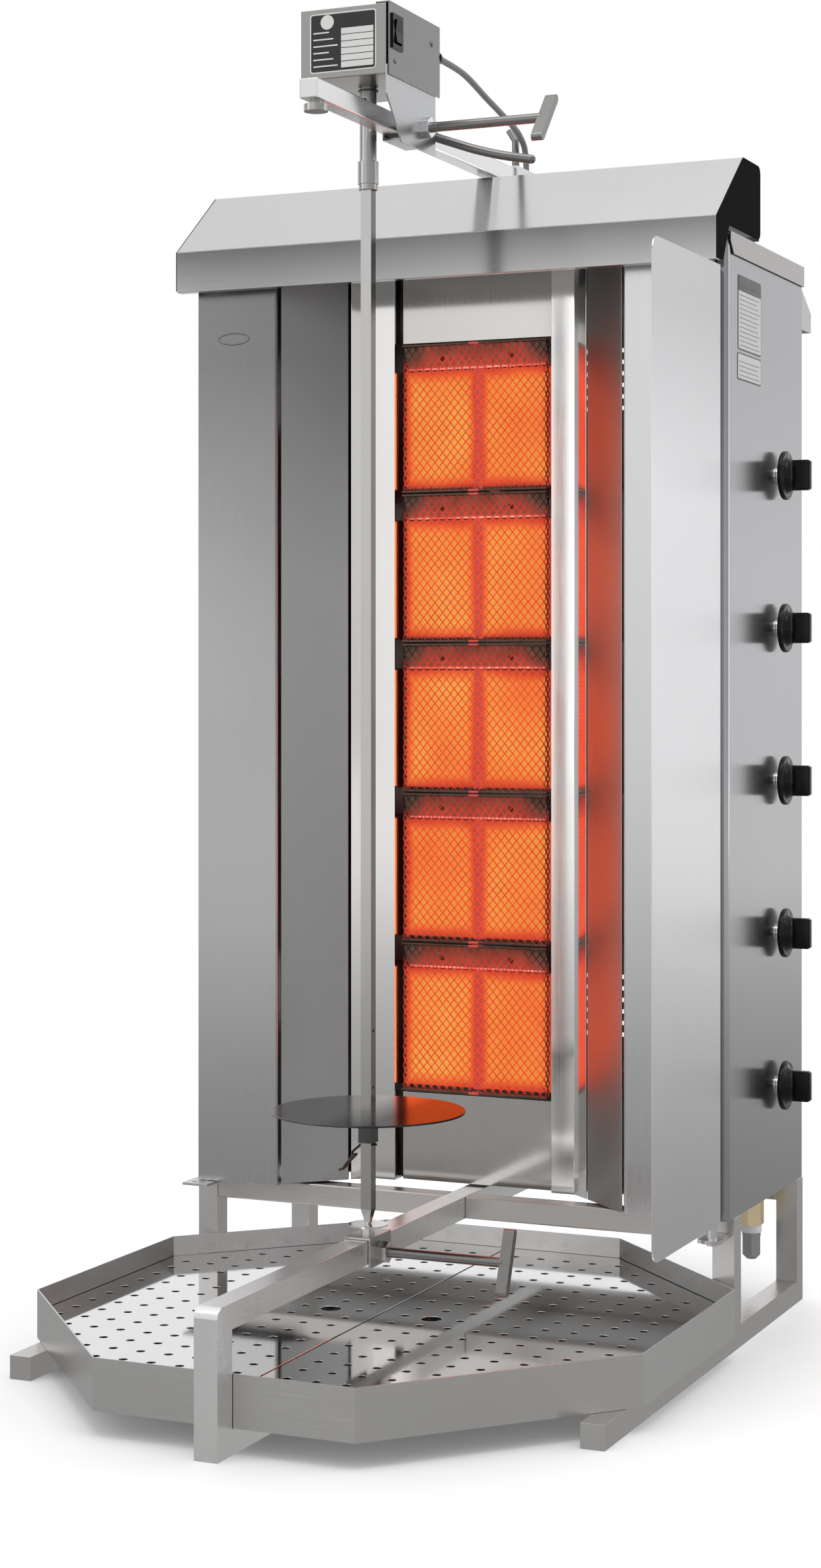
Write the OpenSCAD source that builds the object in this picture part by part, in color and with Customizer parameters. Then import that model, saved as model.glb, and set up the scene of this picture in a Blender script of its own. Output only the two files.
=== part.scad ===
// Vertical rotisserie broiler: five gas burners behind an upright spit,
// with a drip tray, a motor carriage above and a swinging side wing.
// Origin on the spit axis at floor level. +X to the controls, +Y to the back, +Z up. Millimetres.

/* [Frame] */
// Width over the two floor runners
frame_w = 660; // [650:1:680]
// Side of the square frame tube
tube = 25; // [24:1:26]
// Height of the frame's top rails, which carry the housing
rail_top = 144; // [142:1:150]
// Front end of the floor runners
runner_front = -180; // [-200:1:-150]
// Front face of the front legs
leg_front = 236; // [236:1:242]
// Rear face of the frame and the housing
frame_rear = 509; // [509:1:530]
// Front face of the centre leg
arm_front = -364; // [-370:1:-364]

/* [Housing] */
// Width of the housing without the control cover
body_w = 630; // [620:1:632]
// Top edge of the housing panels
body_top = 1214; // [1212:1:1220]
// Front plane of the flat front panels
front_y = 207; // [205:1:209]
// Inner edge of the flat front panels
front_in_x = 212; // [211:1:216]
// Inner edge of the slanted reflectors
reflector_in_x = 149; // [148:1:152]
// Plane of the bright strips beside the burners
strip_y = 287; // [284:1:288]
// Outer face of the control cover
control_x = 329; // [328:1:330]

/* [Burners] */
// Distance from one burner to the next
burner_pitch = 174.4; // [172:0.2:176]
// Top line of the highest burner
burner_top = 1122; // [1118:1:1126]
// Width of one ceramic tile
tile_w = 86; // [84:0.5:86]
// Height of one ceramic tile
tile_h = 136; // [132:1:136]

/* [Hood] */
// Width over the hood's end plates
hood_w = 658; // [652:1:662]
// Front plane of the hood lip
hood_lip_y = 178; // [170:1:185]
// Lower edge of the hood lip
hood_lip_z = 1181.5; // [1180:0.5:1184]
// Height of the hood lip
hood_lip_h = 47; // [40:1:55]
// Flat top of the hood
hood_top_z = 1306.5; // [1300:0.5:1306.5]

/* [Spit and drive] */
// Side of the square spit
spit_w = 12; // [12:0.1:12.2]
// Diameter of the carrying disc
disc_d = 206; // [180:1:210]
// Underside of the carrying disc
disc_z = 274; // [265:1:300]
// Underside of the motor box
box_z = 1357; // [1357:0.5:1358]
// Radial clearance of turning and sliding fits
run_gap = 0.05; // [0.02:0.01:0.08]

/* [Tray] */
// Height of the tray's rim above the floor
tray_rim = 77; // [74:1:80]
// Top face of the perforated plates
plate_z = 54; // [50:1:54]
// Diameter of the drain holes
drain_d = 9; // [6:0.5:9]

/* [Controls] */
// Height of the highest knob
knob_top_z = 964.4; // [962:0.2:966]
// Distance of the knobs behind the spit axis
knob_y = 407; // [404:1:410]
// Diameter of the knob skirts
knob_d = 56; // [50:1:60]
// How far a knob can be pushed in
knob_push = 3; // [2:0.5:4]

/* [Wing] */
// Front edge of the wing
wing_front = -33; // [-40:1:-20]
// Top edge of the wing
wing_top = 1177; // [1170:1:1177]

/* [Hidden] */

$fn = 64;
eps = 0.01;
sheet = 1.5;            // thickness of the panels
tube_wall = 1.5;
half_frame = frame_w / 2;
half_body = body_w / 2;
half_hood = hood_w / 2;
burner_count = 5;

rail_z = rail_top - tube;
arm_leg_depth = 30;
arm_half = tube / 2;

cover_z = body_top + 2;
column_half = 92;
column_y = 300;
tile_gap = 9.4;
tile_y = 306;
tile_drop = 31.4;       // from a burner's top line to its tiles
mesh_y = 290;

hood_top_y = 275;
hood_rear_y = 339;

arm_z = 1309.5;         // underside of the upper arm
arm_side = 20;
arm_x = 10;             // left face of the upper arm
upper_arm_front = -186;
socket_front = 346;
socket_wall = 2.25;

box_front = -60;
box_rear = 70;
box_top = 1430;
box_half = 50;
rocker_z = 1402;
clamp_y = 33;           // axis of the upper clamp screw
clamp_z = 1317;
lower_clamp_z = 128;
t_bar_len = 70;
t_bar_w = 9;
t_bar_t = 12;
clamp_r = 5.2;
nut_d = 23;         // across the corners of the welded nuts
nut_h = 9;

drive_r = 9;
sleeve_r = 11;
sleeve_z = 1249;
spit_top = 1260;
collar_h = 32;
clip_z = disc_z - collar_h - 1.7;
cup_z = 146.5;

tray_z = 25.2;
tray_outline = [[-140, -333], [140, -333], [343, -105], [343, 196], [142, 397], [-142, 397],
    [-343, 196], [-343, -105]];

stem_r = 4;
stem_in_x = 300;
knob_x = 336;           // rear face of the knob skirts
inlet_x = 288;
inlet_y = 440;

hinge_x = 316;
hinge_y = 200;
hinge_r = 5.5;
wing_x = 328;

steel = [0.74, 0.74, 0.73];
tube_steel = [0.66, 0.65, 0.63];
black = [0.06, 0.06, 0.06];

function burner_line(i) = burner_top - burner_pitch * i;
function knob_z(i) = knob_top_z - burner_pitch * i;
function unit(v) = v / norm(v);
function left_of(v) = [-v[1], v[0]];
// A convex outline, listed anticlockwise, with every edge moved inwards by t
function inset(p, t) = [for (i = [0:len(p) - 1])
    let (a = p[(i + len(p) - 1) % len(p)], b = p[i], c = p[(i + 1) % len(p)],
        n = left_of(unit(b - a)), m = left_of(unit(c - b)))
    b + t * (n + m) / (1 + n * m)];
// How far a point is inside such an outline
function depth_in(p, q) = min([for (i = [0:len(q) - 1])
    let (a = q[i], b = q[(i + 1) % len(q)]) (p - a) * left_of(unit(b - a))]);
// Points of an arc
function arc(c, r, from, to, n = 6) = [for (i = [0:n]) let (a = from + (to - from) * i / n)
    c + r * [cos(a), sin(a)]];

module box(lo, hi) { translate(lo) cube(hi - lo); }

// Unit direction of the centre line p just before (side 0) or after (side 1) point i
function run_of(p, i, side) = let (k = max(0, min(len(p) - 2, i - 1 + side))) unit(p[k + 1] - p[k]);
// The point h to the left of point i of the centre line p, on the mitre of the fold there
function mitre(p, i, h) = let (n = left_of(run_of(p, i, 0)), m = left_of(run_of(p, i, 1)))
    p[i] + h * (n + m) / (1 + n * m);

// A folded sheet seen end on: centre line p, thickness t
module bent(p, t = sheet) {
    last = len(p) - 1;
    polygon(concat([for (i = [0:last]) mitre(p, i, t / 2)], [for (i = [last:-1:0]) mitre(p, i, -t / 2)]));
}

// A round rod through the points p
module rod(p, r) {
    for (i = [0:len(p) - 2]) let (d = p[i + 1] - p[i])
        translate(p[i]) rotate([0, acos(d[2] / norm(d)), atan2(d[1], d[0])])
            cylinder(r = r, h = norm(d), $fn = 32);
    for (i = [1:1:len(p) - 2]) translate(p[i]) sphere(r = r, $fn = 32);
}

// A round rod bent to one arc from a to b, rising by sag (or hanging, when negative) at its middle
module arched_rod(a, b, sag, r) {
    chord = norm(b - a);
    along = unit(b - a);
    up = unit(cross(cross(along, [0, 0, 1]), along)) * sign(sag);
    bend_r = (chord * chord / 4 + sag * sag) / (2 * abs(sag));
    c = (a + b) / 2 - up * (bend_r - abs(sag));
    half = asin(chord / 2 / bend_r);
    w = cross(up, along);
    multmatrix([[up[0], along[0], w[0], c[0]], [up[1], along[1], w[1], c[1]],
        [up[2], along[2], w[2], c[2]], [0, 0, 0, 1]])
        rotate([0, 0, -half]) rotate_extrude(angle = 2 * half)
            translate([bend_r, 0]) circle(r = r, $fn = 32);
}

module cyl_x(x0, x1, y, z, r) { translate([x0, y, z]) rotate([0, 90, 0]) cylinder(r = r, h = x1 - x0); }
module in_yz(x0, x1) { translate([x0, 0, 0]) rotate([90, 0, 90]) linear_extrude(x1 - x0) children(); }
module both() { children(); mirror([1, 0, 0]) children(); }

// ---- frame ----

// The closed outline of one side frame; g shrinks it to the hollow inside the tubes
module side_frame_solid(g = 0) {
    x0 = half_frame - tube + g;
    x1 = half_frame - g;
    box([x0, runner_front + g, g], [x1, frame_rear - g, tube - g]);
    box([x0, leg_front + g, g], [x1, leg_front + tube - g, rail_top - g]);
    box([x0, frame_rear - tube + g, g], [x1, frame_rear - g, rail_top - g]);
}

module side_frames() {
    drain = 6;
    color(tube_steel) both() difference() {
        side_frame_solid();
        side_frame_solid(tube_wall);
        translate([half_frame - arm_half, 0, -1]) cylinder(d = drain, h = 5);
    }
    // Hinge tab for the wing, welded to the right front leg
    color(tube_steel) difference() {
        union() {
            translate([hinge_x, hinge_y, 124]) cylinder(r = 12.5, h = 4);
            box([hinge_x - 14, hinge_y - 8, 124], [hinge_x + 10, leg_front, 128]);
        }
        translate([hinge_x, hinge_y, 120]) cylinder(r = hinge_r + run_gap, h = 12);
    }
    // Tab with two screw holes for a second wing, on the left front leg
    color(tube_steel) difference() {
        box([-325, 186, rail_top - 3.5], [-292, leg_front, rail_top - 0.5]);
        for (x = [-314, -303]) translate([x, 196, rail_top - 5]) cylinder(d = 5, h = 8, $fn = 32);
    }
}

module hollow_bar(lo, hi, axis) {
    grow = [axis == 0 ? 1 : -tube_wall, axis == 1 ? 1 : -tube_wall, axis == 2 ? 1 : -tube_wall];
    difference() { box(lo, hi); box(lo - grow, hi + grow); }
}

module cross_rails() {
    inner = half_frame - tube;
    color(tube_steel) {
        both() hollow_bar([arm_half, leg_front, rail_z], [inner, leg_front + tube, rail_top], 0);
        hollow_bar([-inner, frame_rear - tube, rail_z], [inner, frame_rear, rail_top], 0);
        hollow_bar([-inner, leg_front, 0], [inner, leg_front + tube, tube], 0);
    }
}

module arm_solid(g = 0) {
    x0 = -arm_half + g;
    x1 = arm_half - g;
    leg_back = arm_front + arm_leg_depth;
    elbow = 10;
    in_yz(x0, x1) polygon(concat(
        [[frame_rear - tube - (g > 0 ? 2 : 0), rail_top - g]],
        arc([arm_front + elbow, rail_top - elbow], elbow - g, 90, 180),
        [[arm_front + g, g], [leg_front, g], [leg_front, tube - g], [leg_back - g, tube - g],
            [leg_back - g, rail_z + g], [frame_rear - tube - (g > 0 ? 2 : 0), rail_z + g]]));
}

module lower_arm() {
    color(tube_steel) difference() {
        arm_solid();
        arm_solid(tube_wall);
        translate([0, -100, -1]) cylinder(d = 6, h = 5);
    }
}

// ---- housing ----

module back_panel() {
    color(steel) difference() {
        box([-half_body + sheet, frame_rear - sheet, rail_top], [half_body - sheet, frame_rear, body_top]);
        for (x = [-90, 90, 225], z0 = [300, 1060], i = [0:5])
            translate([x, frame_rear + 1, z0 + i * 14]) rotate([90, 0, 0]) linear_extrude(4)
                square([110, 5], center = true);
    }
    color(steel) {
        wall_spacer(control_x);
        mirror([1, 0, 0]) wall_spacer(half_body);
    }
}

// Folded bracket that keeps the housing off a wall, with its outer face at x
module wall_spacer(x) {
    z0 = 1144;
    z1 = 1190;
    z2 = 1167;
    end = frame_rear + 40;
    in_yz(x - sheet, x)
        polygon([[frame_rear, z0], [end, z0], [end, z2], [frame_rear + 2, z1], [frame_rear, z1]]);
    box([x - 30, frame_rear, z0], [x, frame_rear + sheet, z1]);
    box([x - 20, end - sheet, z0], [x, end, z2]);
}

module floor_panel() {
    color(steel) difference() {
        box([-half_body + sheet, 320, rail_top], [half_body - sheet, frame_rear - sheet, rail_top + sheet]);
        translate([inlet_x, inlet_y, rail_top - 1]) cylinder(d = 32, h = 4);
    }
}

module side_panel_left() {
    color(steel) box([-half_body, front_y + 20, rail_top], [-half_body + sheet, frame_rear, body_top]);
}

module control_cover() {
    r = 6;
    x = control_x - sheet / 2;
    y0 = front_y + 11;
    color(steel) difference() {
        translate([0, 0, rail_top]) linear_extrude(body_top - rail_top)
            bent(concat([[half_body + 1.5, y0]], arc([x - r, y0 + r], r, -90, 0),
                [[x, frame_rear - sheet / 2], [half_body + 1, frame_rear - sheet / 2]]));
        for (i = [0:burner_count - 1]) cyl_x(control_x - 5, control_x + 5, knob_y, knob_z(i), 8);
    }
}

module top_cover() {
    lip = 22;
    color(steel) difference() {
        union() {
            box([-half_body - 2, leg_front - 10, cover_z],
                [control_x + 2.5, frame_rear + 2, cover_z + sheet]);
            box([-half_body - 2, leg_front - 10, cover_z - lip],
                [-half_body - 2 + sheet, frame_rear + 2, cover_z + eps]);
            difference() {
                box([control_x + 1, leg_front - 17, cover_z - lip],
                    [control_x + 2.5, frame_rear + 2, cover_z + sheet]);
                translate([control_x, leg_front - 17, cover_z - lip - 1])
                    in_yz(0, 5) polygon([[-1, -1], [14, -1], [-1, 16]]);
            }
            box([half_body - 60, leg_front - 17, cover_z], [control_x + 2.5, leg_front, cover_z + sheet]);
            box([-half_body - 2, frame_rear + 0.5, cover_z - lip],
                [control_x + 2.5, frame_rear + 2, cover_z + eps]);
        }
        // Heat outlet under the hood, and the hole for the mast
        box([-240, 262, cover_z - 1], [240, 330, cover_z + 4]);
        box([arm_x - 3.5, 469, cover_z - 1], [arm_x + arm_side + 3.5, 496, cover_z + 4]);
    }
}

module front_panels() {
    x0 = front_in_x + sheet / 2;
    x1 = half_body - sheet / 2;
    y = front_y + sheet / 2;
    r = 3;
    color(steel) both() translate([0, 0, rail_top]) linear_extrude(body_top - rail_top)
        bent(concat([[x0, y + 10]], arc([x0 + r, y + r], r, 180, 270), [[x1, y], [x1, y + 16]]));
}

module reflectors() {
    color(steel) both() translate([0, 0, rail_top + 2]) linear_extrude(body_top - rail_top - 2)
        bent([[front_in_x - 3, front_y + 5], [reflector_in_x + 0.5, strip_y - 20],
            [reflector_in_x + 3, strip_y - 13]]);
}

module column_strips() {
    x = reflector_in_x - 2.5;
    color([0.85, 0.85, 0.84]) both() translate([0, 0, rail_top + 2]) linear_extrude(body_top - rail_top - 2)
        bent([[x, strip_y - 17], [126, strip_y], [98.5, strip_y], [98.5, strip_y + 31]]);
}

module column_plates() {
    color(steel) {
        for (z = [[rail_top + 2, burner_line(burner_count) - 2], [burner_top + 2, body_top]])
            translate([0, 0, z[0]]) linear_extrude(z[1] - z[0])
                bent([[-column_half, column_y + 14], [-column_half, column_y],
                    [column_half, column_y], [column_half, column_y + 14]]);
    }
}

// ---- burners ----

module for_burners() { for (i = [0:burner_count - 1]) translate([0, 0, burner_line(i)]) children(); }

module burner_bodies() {
    half = column_half + 1.5;
    top = -tile_drop + 2;
    bottom = -tile_drop - tile_h - 2;
    mix_z = knob_top_z - burner_top;
    color([0.45, 0.44, 0.42]) for_burners() {
        difference() {
            union() {
                box([-half, tile_y - 0.5, bottom], [half, tile_y + 56, top]);
                cyl_x(half - 1, half + 96, tile_y + 30, mix_z, 15);
            }
            // Pocket for the tiles, mixing chamber behind them, and the mixing tube
            box([-tile_gap / 2 - tile_w - 0.2, tile_y - 2, bottom + 1.8],
                [tile_gap / 2 + tile_w + 0.2, tile_y + 12.2, top - 1.8]);
            box([-half + 8, tile_y, bottom + 8], [half - 8, tile_y + 54, top - 8]);
            cyl_x(half - 12, half + 100, tile_y + 30, mix_z, 12);
        }
        box([-tile_gap / 2 + 0.3, tile_y, bottom + 1.8], [tile_gap / 2 - 0.3, tile_y + 12, top - 1.8]);
    }
}

module ceramic_tiles() {
    color([0.98, 0.6, 0.2]) for_burners() both()
        box([tile_gap / 2, tile_y, -tile_drop - tile_h], [tile_gap / 2 + tile_w, tile_y + 12, -tile_drop]);
}

module mesh_guards() {
    h = burner_pitch - 3;
    w = column_half * 2 - 3;
    border = 3;
    bars = 4;
    color([0.25, 0.15, 0.12]) for_burners() {
        translate([0, mesh_y + 1, -h / 2 - 1]) rotate([90, 0, 0]) linear_extrude(1) {
            difference() {
                square([w, h], center = true);
                square([w - 2 * border, h - 2 * border], center = true);
            }
            intersection() {
                square([w, h], center = true);
                for (i = [-bars:bars], s = [-1, 1]) translate([i * 44, 0]) rotate(s * 30)
                    square([1.2, 2 * h], center = true);
            }
        }
        for (z = [-1.8, -h - 1]) box([-w / 2, mesh_y + 0.5, z], [w / 2, tile_y - 1, z + 0.8]);
    }
}

module deflector_strips() {
    color([0.5, 0.3, 0.25]) for_burners() in_yz(-column_half + 3, column_half - 3)
        bent([[mesh_y + 3, -3.5], [tile_y - 2.5, -tile_drop + 3]], 1);
}

// ---- gas train ----

module gas_manifold() {
    color([0.55, 0.55, 0.56]) difference() {
        union() {
            translate([inlet_x, inlet_y, rail_top + 6]) cylinder(r = 10.5, h = knob_top_z - rail_top + 14);
            for (i = [0:burner_count - 1]) translate([inlet_x, inlet_y, knob_z(i)]) rotate([90, 0, 0])
                cylinder(r = 7, h = inlet_y - knob_y - 13);
        }
        translate([inlet_x, inlet_y, rail_top]) cylinder(r = 8, h = knob_top_z - rail_top + 16);
        for (i = [0:burner_count - 1]) translate([inlet_x, inlet_y, knob_z(i)]) rotate([90, 0, 0])
            cylinder(r = 4, h = 60);
    }
}

module gas_valves() {
    color([0.8, 0.68, 0.38]) for (i = [0:burner_count - 1]) translate([0, knob_y, knob_z(i)]) difference() {
        union() {
            box([inlet_x - 15, -13, -14], [inlet_x + 22, 13, 14]);
            cyl_x(inlet_x + 20, 325, 0, 0, 7.5);
        }
        cyl_x(stem_in_x - knob_push - 4, 340, 0, 0, stem_r + run_gap);
        translate([inlet_x, 14, 0]) rotate([90, 0, 0]) cylinder(r = 4, h = 14);
        cyl_x(inlet_x - 20, inlet_x + 4, 0, 0, 2.5);
    }
}

module knob_bezels() {
    color([0.85, 0.85, 0.86]) for (i = [0:burner_count - 1]) difference() {
        cyl_x(control_x, control_x + 3, knob_y, knob_z(i), 10);
        cyl_x(control_x - 1, control_x + 4, knob_y, knob_z(i), 6);
    }
}

module gas_pipes() {
    x0 = inlet_x - 15;
    mix_x = column_half + 97.5;
    turn_x = mix_x + 34;
    mix_y = tile_y + 30;
    // From each valve to the injector in its burner's mixing tube, round two square elbows
    color([0.75, 0.72, 0.66]) for (i = [0:burner_count - 1]) translate([0, 0, knob_z(i)]) {
        cyl_x(turn_x, x0, knob_y, 0, 4);
        translate([turn_x, knob_y, 0]) rotate([90, 0, 0]) cylinder(r = 4, h = knob_y - mix_y);
        for (y = [knob_y, mix_y]) box([turn_x - 6, y - 6, -6], [turn_x + 6, y + 6, 6]);
        cyl_x(mix_x - 4, turn_x, mix_y, 0, 5);
    }
}

module inlet_fitting() {
    color([0.82, 0.66, 0.36]) difference() {
        union() {
            translate([inlet_x, inlet_y, 98]) rotate(30) cylinder(d = 30, h = 34, $fn = 6);
            translate([inlet_x, inlet_y, 131]) cylinder(r = 12, h = 19);
        }
        translate([inlet_x, inlet_y, 90]) cylinder(r = 8, h = 70);
    }
}

module seal_ring() {
    color([0.95, 0.95, 0.95]) translate([inlet_x, inlet_y, 89]) difference() {
        cylinder(r = 12, h = 9);
        translate([0, 0, -1]) cylinder(r = 8.5, h = 11);
    }
}

module inlet_plug() {
    color([0.5, 0.51, 0.5]) translate([inlet_x, inlet_y, 0]) {
        translate([0, 0, 83]) cylinder(r = 8.4, h = 14.9);
        translate([0, 0, 85]) cylinder(r = 10.8, h = 3.9);
        intersection() {
            translate([0, 0, 58]) rotate(62) translate([-7.6, -7.6, 0]) cube([15.2, 15.2, 28]);
            translate([0, 0, 58]) cylinder(r1 = 5.5, r2 = 33.5, h = 28);
            translate([0, 0, 58]) cylinder(r = 10.3, h = 28);
        }
    }
}

module valve_stem(i) {
    color([0.8, 0.8, 0.82]) cyl_x(stem_in_x, knob_x + 20, knob_y, knob_z(i), stem_r);
}

module knob(i) {
    color(black) translate([knob_x, knob_y, knob_z(i)]) difference() {
        union() {
            cyl_x(0, 5, 0, 0, knob_d / 2);
            translate([4, 0, 0]) rotate([0, 90, 0]) cylinder(r1 = 18, r2 = 14, h = 8);
            box([6, -5, -17.5], [32, 5, 17.5]);
        }
        cyl_x(-1, 20.5, 0, 0, stem_r + run_gap);
    }
}

// ---- hood, mast and upper arm ----

function hood_line() = [[hood_lip_y + 12, hood_lip_z + 0.75], [hood_lip_y + 0.75, hood_lip_z + 0.75],
    [hood_lip_y + 0.75, hood_lip_z + hood_lip_h], [hood_top_y, hood_top_z - 0.75],
    [hood_rear_y - 0.75, hood_top_z - 0.75], [hood_rear_y - 0.75, cover_z + 7]];

module hood_shell() {
    color(steel) in_yz(-half_hood + sheet, half_hood - sheet) bent(hood_line());
}

module hood_ends() {
    r = 9;
    color(black) both() in_yz(half_hood - sheet, half_hood)
        polygon(concat([[hood_lip_y, hood_lip_z + 2], [hood_lip_y + 22, hood_lip_z + 2],
            [hood_lip_y + 44, cover_z + 8]],
            arc([hood_rear_y - r, cover_z + 8 + r], r, -90, 0),
            arc([hood_rear_y - r, hood_top_z - r], r, 0, 90),
            [[hood_top_y, hood_top_z], [hood_lip_y, hood_lip_z + hood_lip_h]]));
}

module mast() {
    x0 = arm_x - 2.5;
    x1 = arm_x + arm_side + 2.5;
    z0 = arm_z - 2.5;
    z1 = arm_z + arm_side + 2.5;
    w = socket_wall;
    color(steel) difference() {
        union() {
            box([x0, socket_front, z0], [x1, 495, z1]);
            box([x0, 470, 900], [x1, 495, z0 + 1]);
            for (z = [920, 1160]) box([x0 - 25, 490, z], [x1 + 25, frame_rear - sheet, z + 30]);
            // Post that guides the cable down beside the arm
            rod([[arm_x + 3, 390, z1 - 1], [arm_x + 3, 390, 1370], [arm_x - 5, 390, 1383]], 4.3);
        }
        box([x0 + w, socket_front - 1, z0 + w], [x1 - w, 492.5, z1 - w]);
        box([x0 + w, 472.5, 895], [x1 - w, 492.5, z1 - w]);
    }
}

module upper_arm() {
    g = tube_wall;
    color(steel) difference() {
        box([arm_x, upper_arm_front, arm_z], [arm_x + arm_side, 466, arm_z + arm_side]);
        box([arm_x + g, upper_arm_front + g, arm_z + g], [arm_x + arm_side - g, 480, arm_z + arm_side - g]);
        translate([arm_x + arm_side / 2, upper_arm_front + 18, arm_z - 2]) cylinder(r = 3.2, h = 6);
    }
}

module arm_end_stop() {
    color(steel) translate([arm_x + arm_side / 2, upper_arm_front + 18, 0]) {
        translate([0, 0, 1299]) cylinder(r = 12.2, h = 7);
        translate([0, 0, 1305]) cylinder(r = 6, h = arm_z - 1305);
        translate([0, 0, 1305]) cylinder(r = 3, h = 12);
    }
}

module cable() {
    color([0.3, 0.3, 0.32]) arched_rod([46, box_rear + 2, 1400], [27, 380, 1368], 7, 3.5);
}

// ---- motor carriage ----

module carriage_bracket() {
    plate_x0 = 48;
    plate_x1 = 50;
    tongue_z = arm_z - 3;
    inner_x = arm_x + arm_side + 2;
    color(steel) difference() {
        union() {
            in_yz(plate_x0, plate_x1)
                polygon([[box_front - 2, box_z + 9], [box_front - 2, box_z - 21], [-24, 1292], [64, 1292],
                    [64, box_z + 9]]);
            // Saddle round the arm: wall beside it, tongue under it, lip on its far side, pad on its top
            box([inner_x, clamp_y - 9, tongue_z], [inner_x + 2, 80, box_z]);
            box([arm_x - 2.5, 20, tongue_z - 2], [inner_x + 2, 80, tongue_z + eps]);
            box([arm_x - 2.5, 20, tongue_z - 2], [arm_x - 0.5, 80, tongue_z + 10]);
            box([arm_x + 1, 62, arm_z + arm_side + 0.2], [inner_x + eps, 80, box_z]);
            box([arm_x + 1, 30, box_z - 3], [plate_x1, 58, box_z]);
            // Welded nut that holds the clamp screw
            translate([plate_x1 - eps, clamp_y, clamp_z]) rotate([0, 90, 0])
                cylinder(d = nut_d, h = nut_h, $fn = 6);
        }
        cyl_x(inner_x - 1, plate_x1 + 12, clamp_y, clamp_z, clamp_r + run_gap);
    }
}

module motor_casing() {
    g = sheet;
    color(steel) difference() {
        box([-box_half, box_front, box_z], [48, box_rear, box_top]);
        box([-box_half + g, box_front + g, box_z + g], [49, box_rear - g, box_top - g]);
        translate([0, 0, box_z - 1]) cylinder(r = 9.6, h = 4);
    }
}

module motor_cover() {
    x0 = box_half + 0.2;
    x1 = box_half + 1.7;
    color(steel) difference() {
        union() {
            box([x0, box_front, box_z - 1], [x1, box_rear + 1.7, box_top + 1.7]);
            box([36, box_front, box_top + 0.2], [x1, box_rear + 1.7, box_top + 1.7]);
            box([36, box_rear + 0.2, box_z + 12], [x1, box_rear + 1.7, box_top + 1.7]);
        }
        box([x0 - 1, -53, 1386], [x1 + 1, -31, 1418]);
    }
}

module gear_motor() {
    color([0.35, 0.36, 0.38]) difference() {
        union() {
            box([-32, -32, box_z + sheet], [32, 32, box_z + 26]);
            translate([0, 0, box_z + 25]) cylinder(r = 28, h = 40);
        }
        translate([0, 0, box_z]) cylinder(r = drive_r + run_gap, h = 20);
    }
}

module bent_lever() {
    y = 69.5;
    end = [160, y, 1281.5];
    color([0.62, 0.62, 0.6]) arched_rod([38, y, 1318.5], end, -3, 4.8);
}

module switch_housing() {
    x1 = box_half + 1.7;
    color(black) difference() {
        union() {
            box([x1, -55, 1384], [x1 + 2, -29, 1420]);
            box([32, -52.8, 1386.2], [x1 + 1, -31.2, 1417.8]);
        }
        box([x1 - 8, -50, 1389], [x1 + 3, -34, 1415]);
        translate([x1 - 1, -32.5, rocker_z]) rotate([90, 0, 0]) cylinder(r = 2 + run_gap, h = 19);
    }
}

module rocker() {
    x1 = box_half + 1.7;
    // Two slanting faces that meet in the middle, on a pivot pin
    color([0.1, 0.1, 0.1]) {
        translate([0, -34.4, rocker_z]) rotate([90, 0, 0]) linear_extrude(15.2)
            polygon([[x1 - 3, -11], [x1 + 4.4, -11.5], [x1 + 2.6, 0], [x1 + 4.4, 11.5], [x1 - 3, 11]]);
        translate([x1 - 1, -33, rocker_z]) rotate([90, 0, 0]) cylinder(r = 2, h = 18);
    }
}

// ---- spit ----

module drive_tube() {
    color([0.7, 0.7, 0.69]) difference() {
        translate([0, 0, 1270]) cylinder(r = drive_r, h = box_z + 18 - 1270);
        translate([0, 0, 1269]) cylinder(r = 7, h = 80);
        translate([0, -20, 1343]) rotate([-90, 0, 0]) cylinder(r = 2.2, h = 40, $fn = 32);
    }
}

module retaining_ring() {
    color([0.15, 0.15, 0.15]) translate([0, 0, box_z - 4]) difference() {
        cylinder(r = 11, h = 1.5);
        translate([0, 0, -1]) cylinder(r = drive_r, h = 4);
    }
}

module coupling_sleeve() {
    color([0.72, 0.72, 0.71]) difference() {
        union() {
            translate([0, 0, sleeve_z + 6]) cylinder(r = sleeve_r, h = 24);
            translate([0, 0, sleeve_z]) cylinder(r = sleeve_r - 1, h = 7);
        }
        translate([0, 0, sleeve_z + 8]) cylinder(r = drive_r + run_gap, h = 30);
        translate([-spit_w / 2 - 0.2, -spit_w / 2 - 0.2, sleeve_z - 1])
            cube([spit_w + 0.4, spit_w + 0.4, 12]);
    }
}

module spit_profile() {
    h = spit_w / 2;
    polygon([[-h, spit_top], [-h, 172], [-2.6, 157], [2.6, 157], [h, 172], [h, spit_top]]);
}

module spit() {
    color([0.68, 0.68, 0.66]) difference() {
        union() {
            intersection() {
                translate([0, 10, 0]) rotate([90, 0, 0]) linear_extrude(20) spit_profile();
                in_yz(-10, 10) spit_profile();
            }
            translate([0, 0, cup_z + 2]) cylinder(r = 3, h = 12);
        }
        // Cross holes for the clip
        for (i = [0:2]) cyl_x(-10, 10, 0, clip_z + 60 * i, 1.7);
    }
}

module meat_disc() {
    hole = spit_w + 0.5;
    color(steel) difference() {
        union() {
            translate([0, 0, disc_z]) cylinder(d = disc_d, h = 2, $fn = 96);
            translate([-8, -8, disc_z - collar_h]) cube([16, 16, collar_h + 0.5]);
        }
        translate([-hole / 2, -hole / 2, disc_z - 40]) cube([hole, hole, 50]);
    }
}

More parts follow.
